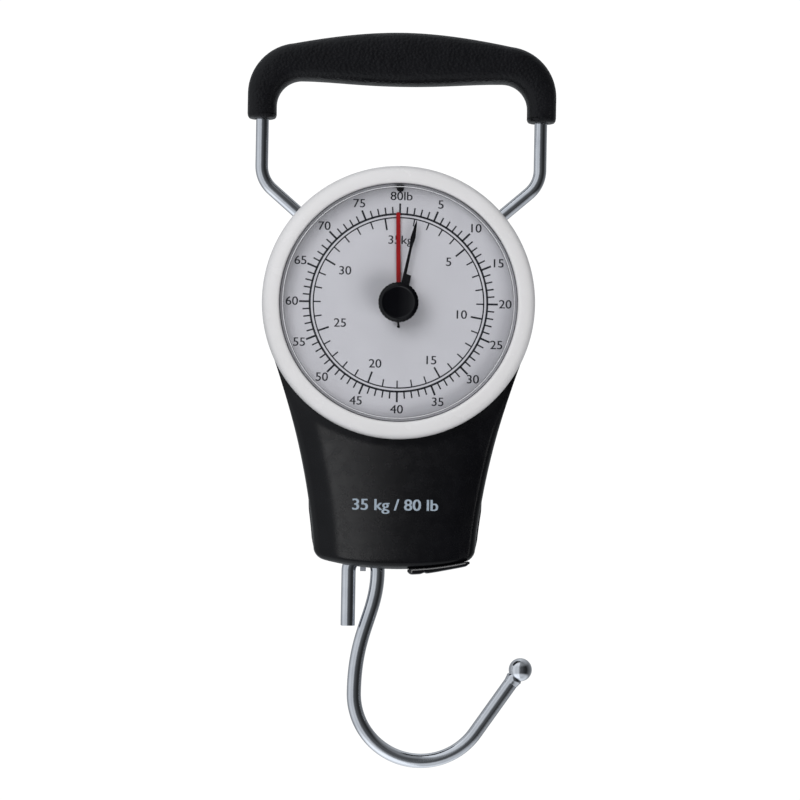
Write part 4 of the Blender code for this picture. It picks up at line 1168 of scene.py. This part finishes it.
def studio_world():
    """White behind the scale, and a tent to mirror: pale on the left and behind, dark on the right."""
    world = bpy.data.worlds.new("studio")
    world.use_nodes = True
    tree = world.node_tree

    def math_node(operation, first, second):
        return add_node(tree, "Math", {0: first, 1: second}, operation=operation).outputs["Value"]

    where = add_node(tree, "TexCoord", {}).outputs["Generated"]
    split = add_node(tree, "SeparateXYZ", {"Vector": where})
    turn = math_node("ARCTAN2", split.outputs["X"], split.outputs["Y"])
    around = math_node("ADD", math_node("DIVIDE", turn, TAU), 0.5)
    ramp = add_node(tree, "ValToRGB", {"Fac": around})
    ramp.color_ramp.interpolation = "EASE"
    stops = ramp.color_ramp.elements
    for i, (angle, level) in enumerate(TENT):
        stop = stops[i] if i < 2 else stops.new(1.0)
        stop.position = angle / 360
        stop.color = (level, level, level, 1)

    def zone(start, end, level):
        """Rises to this level between two heights of the view direction."""
        inputs = {"Value": split.outputs["Z"], "From Min": start, "From Max": end,
                  "To Min": 0.0, "To Max": level}
        return add_node(tree, "MapRange", inputs, interpolation_type="SMOOTHSTEP").outputs["Result"]

    ends = math_node("ADD", zone(0.45, 0.85, TENT_TOP), zone(-0.45, -0.8, TENT_FOOT))
    tent = tree.nodes["Background"]
    tent.inputs["Color"].default_value = (0.92, 0.96, 1.0, 1)
    tree.links.new(math_node("ADD", ramp.outputs["Color"], ends), tent.inputs["Strength"])
    white = add_node(tree, "Background", {"Color": (1, 1, 1, 1), "Strength": 1.05})
    seen = add_node(tree, "LightPath", {}).outputs["Is Camera Ray"]
    blend_shaders(tree, seen, tent.outputs["Background"], white.outputs["Background"], "World Output")
    bpy.context.scene.world = world


def light_only(light, *looks):
    """Limits a light to the pieces painted with these looks."""
    lit = bpy.data.collections.new(light.name + "_lit")
    materials = {LOOKS[look].material for look in looks}
    for made in bpy.context.scene.objects:
        if made.type == "MESH" and materials & {slot.material for slot in made.material_slots}:
            lit.objects.link(made)
    light.light_linking.receiver_collection = lit


def build_floor():
    """A pale floor that is clear from below, and that shows in no mirror."""
    half = 7.0
    mesh = bpy.data.meshes.new("floor")
    corners = [(-half, -half, 0), (half, -half, 0), (half, half, 0), (-half, half, 0)]
    mesh.from_pydata(corners, [], [(0, 1, 2, 3)])
    floor = add_object("floor", mesh)
    floor.location = (0, 0, FLOOR_Z)
    pale = Look("floor_pale", (0.86, 0.86, 0.86), 0.8)
    below = pale.add("NewGeometry", {}).outputs["Backfacing"]
    clear = pale.add("BsdfTransparent", {})
    blend_shaders(pale.tree, below, pale.shader.outputs["BSDF"], clear.outputs["BSDF"])
    mesh.materials.append(pale.material)
    floor.visible_glossy = False


# Name, width and height in metres, place in metres, watts, and the only looks it falls on, if any
LIGHTS = (("key", 0.9, 0.9, (-0.5, -1.3, 0.42), 8.3, ()),
          ("fill", 0.8, 0.8, (0.75, -1.15, -0.6), 6.8, ()),
          ("top", 0.9, 0.6, (-0.1, -0.4, 1.0), 2.0, ()),
          ("sheen_left", 0.24, 0.8, (-0.31, -1.45, -0.02), 2.3, ("housing_plastic", "tab_black")),
          ("strip_right", 0.1, 0.9, (0.95, -0.6, -0.25), 0.7,
           ("housing_plastic", "grip_plastic", "tab_black")),
          ("glint", 0.5, 0.12, (0.03, -1.3, 0.33), 0.8, ("tab_black",)))


def build_studio():
    build_floor()
    for name, width, height, centre, power, looks in LIGHTS:
        light = soft_light(name, width, height, centre, power)
        if looks:
            light_only(light, *looks)
        else:
            light.visible_glossy = False
    studio_world()
    bpy.context.scene.view_settings.view_transform = "Standard"


def build_camera():
    """Straight on from the front, through a long lens, with the scale hanging a degree off plumb."""
    distance, view_width, sensor = 1.2, 0.25, 36.0
    roll = math.radians(1.0)
    plane_y = -0.006           # the view is as wide as this at that depth
    camera = bpy.data.cameras.new("camera")
    camera.sensor_width = sensor
    camera.lens = sensor * (distance + plane_y) / view_width
    made = add_object("camera", camera)
    made.location = at(1.0, -distance / MM, -30.2)
    made.rotation_euler = (Matrix.Rotation(math.pi / 2, 4, "X") @ Matrix.Rotation(roll, 4, "Z")).to_euler()
    bpy.context.scene.camera = made


build_handle()
build_housing()
build_dial()
build_moving()
paint_frame()
build_studio()
build_camera()
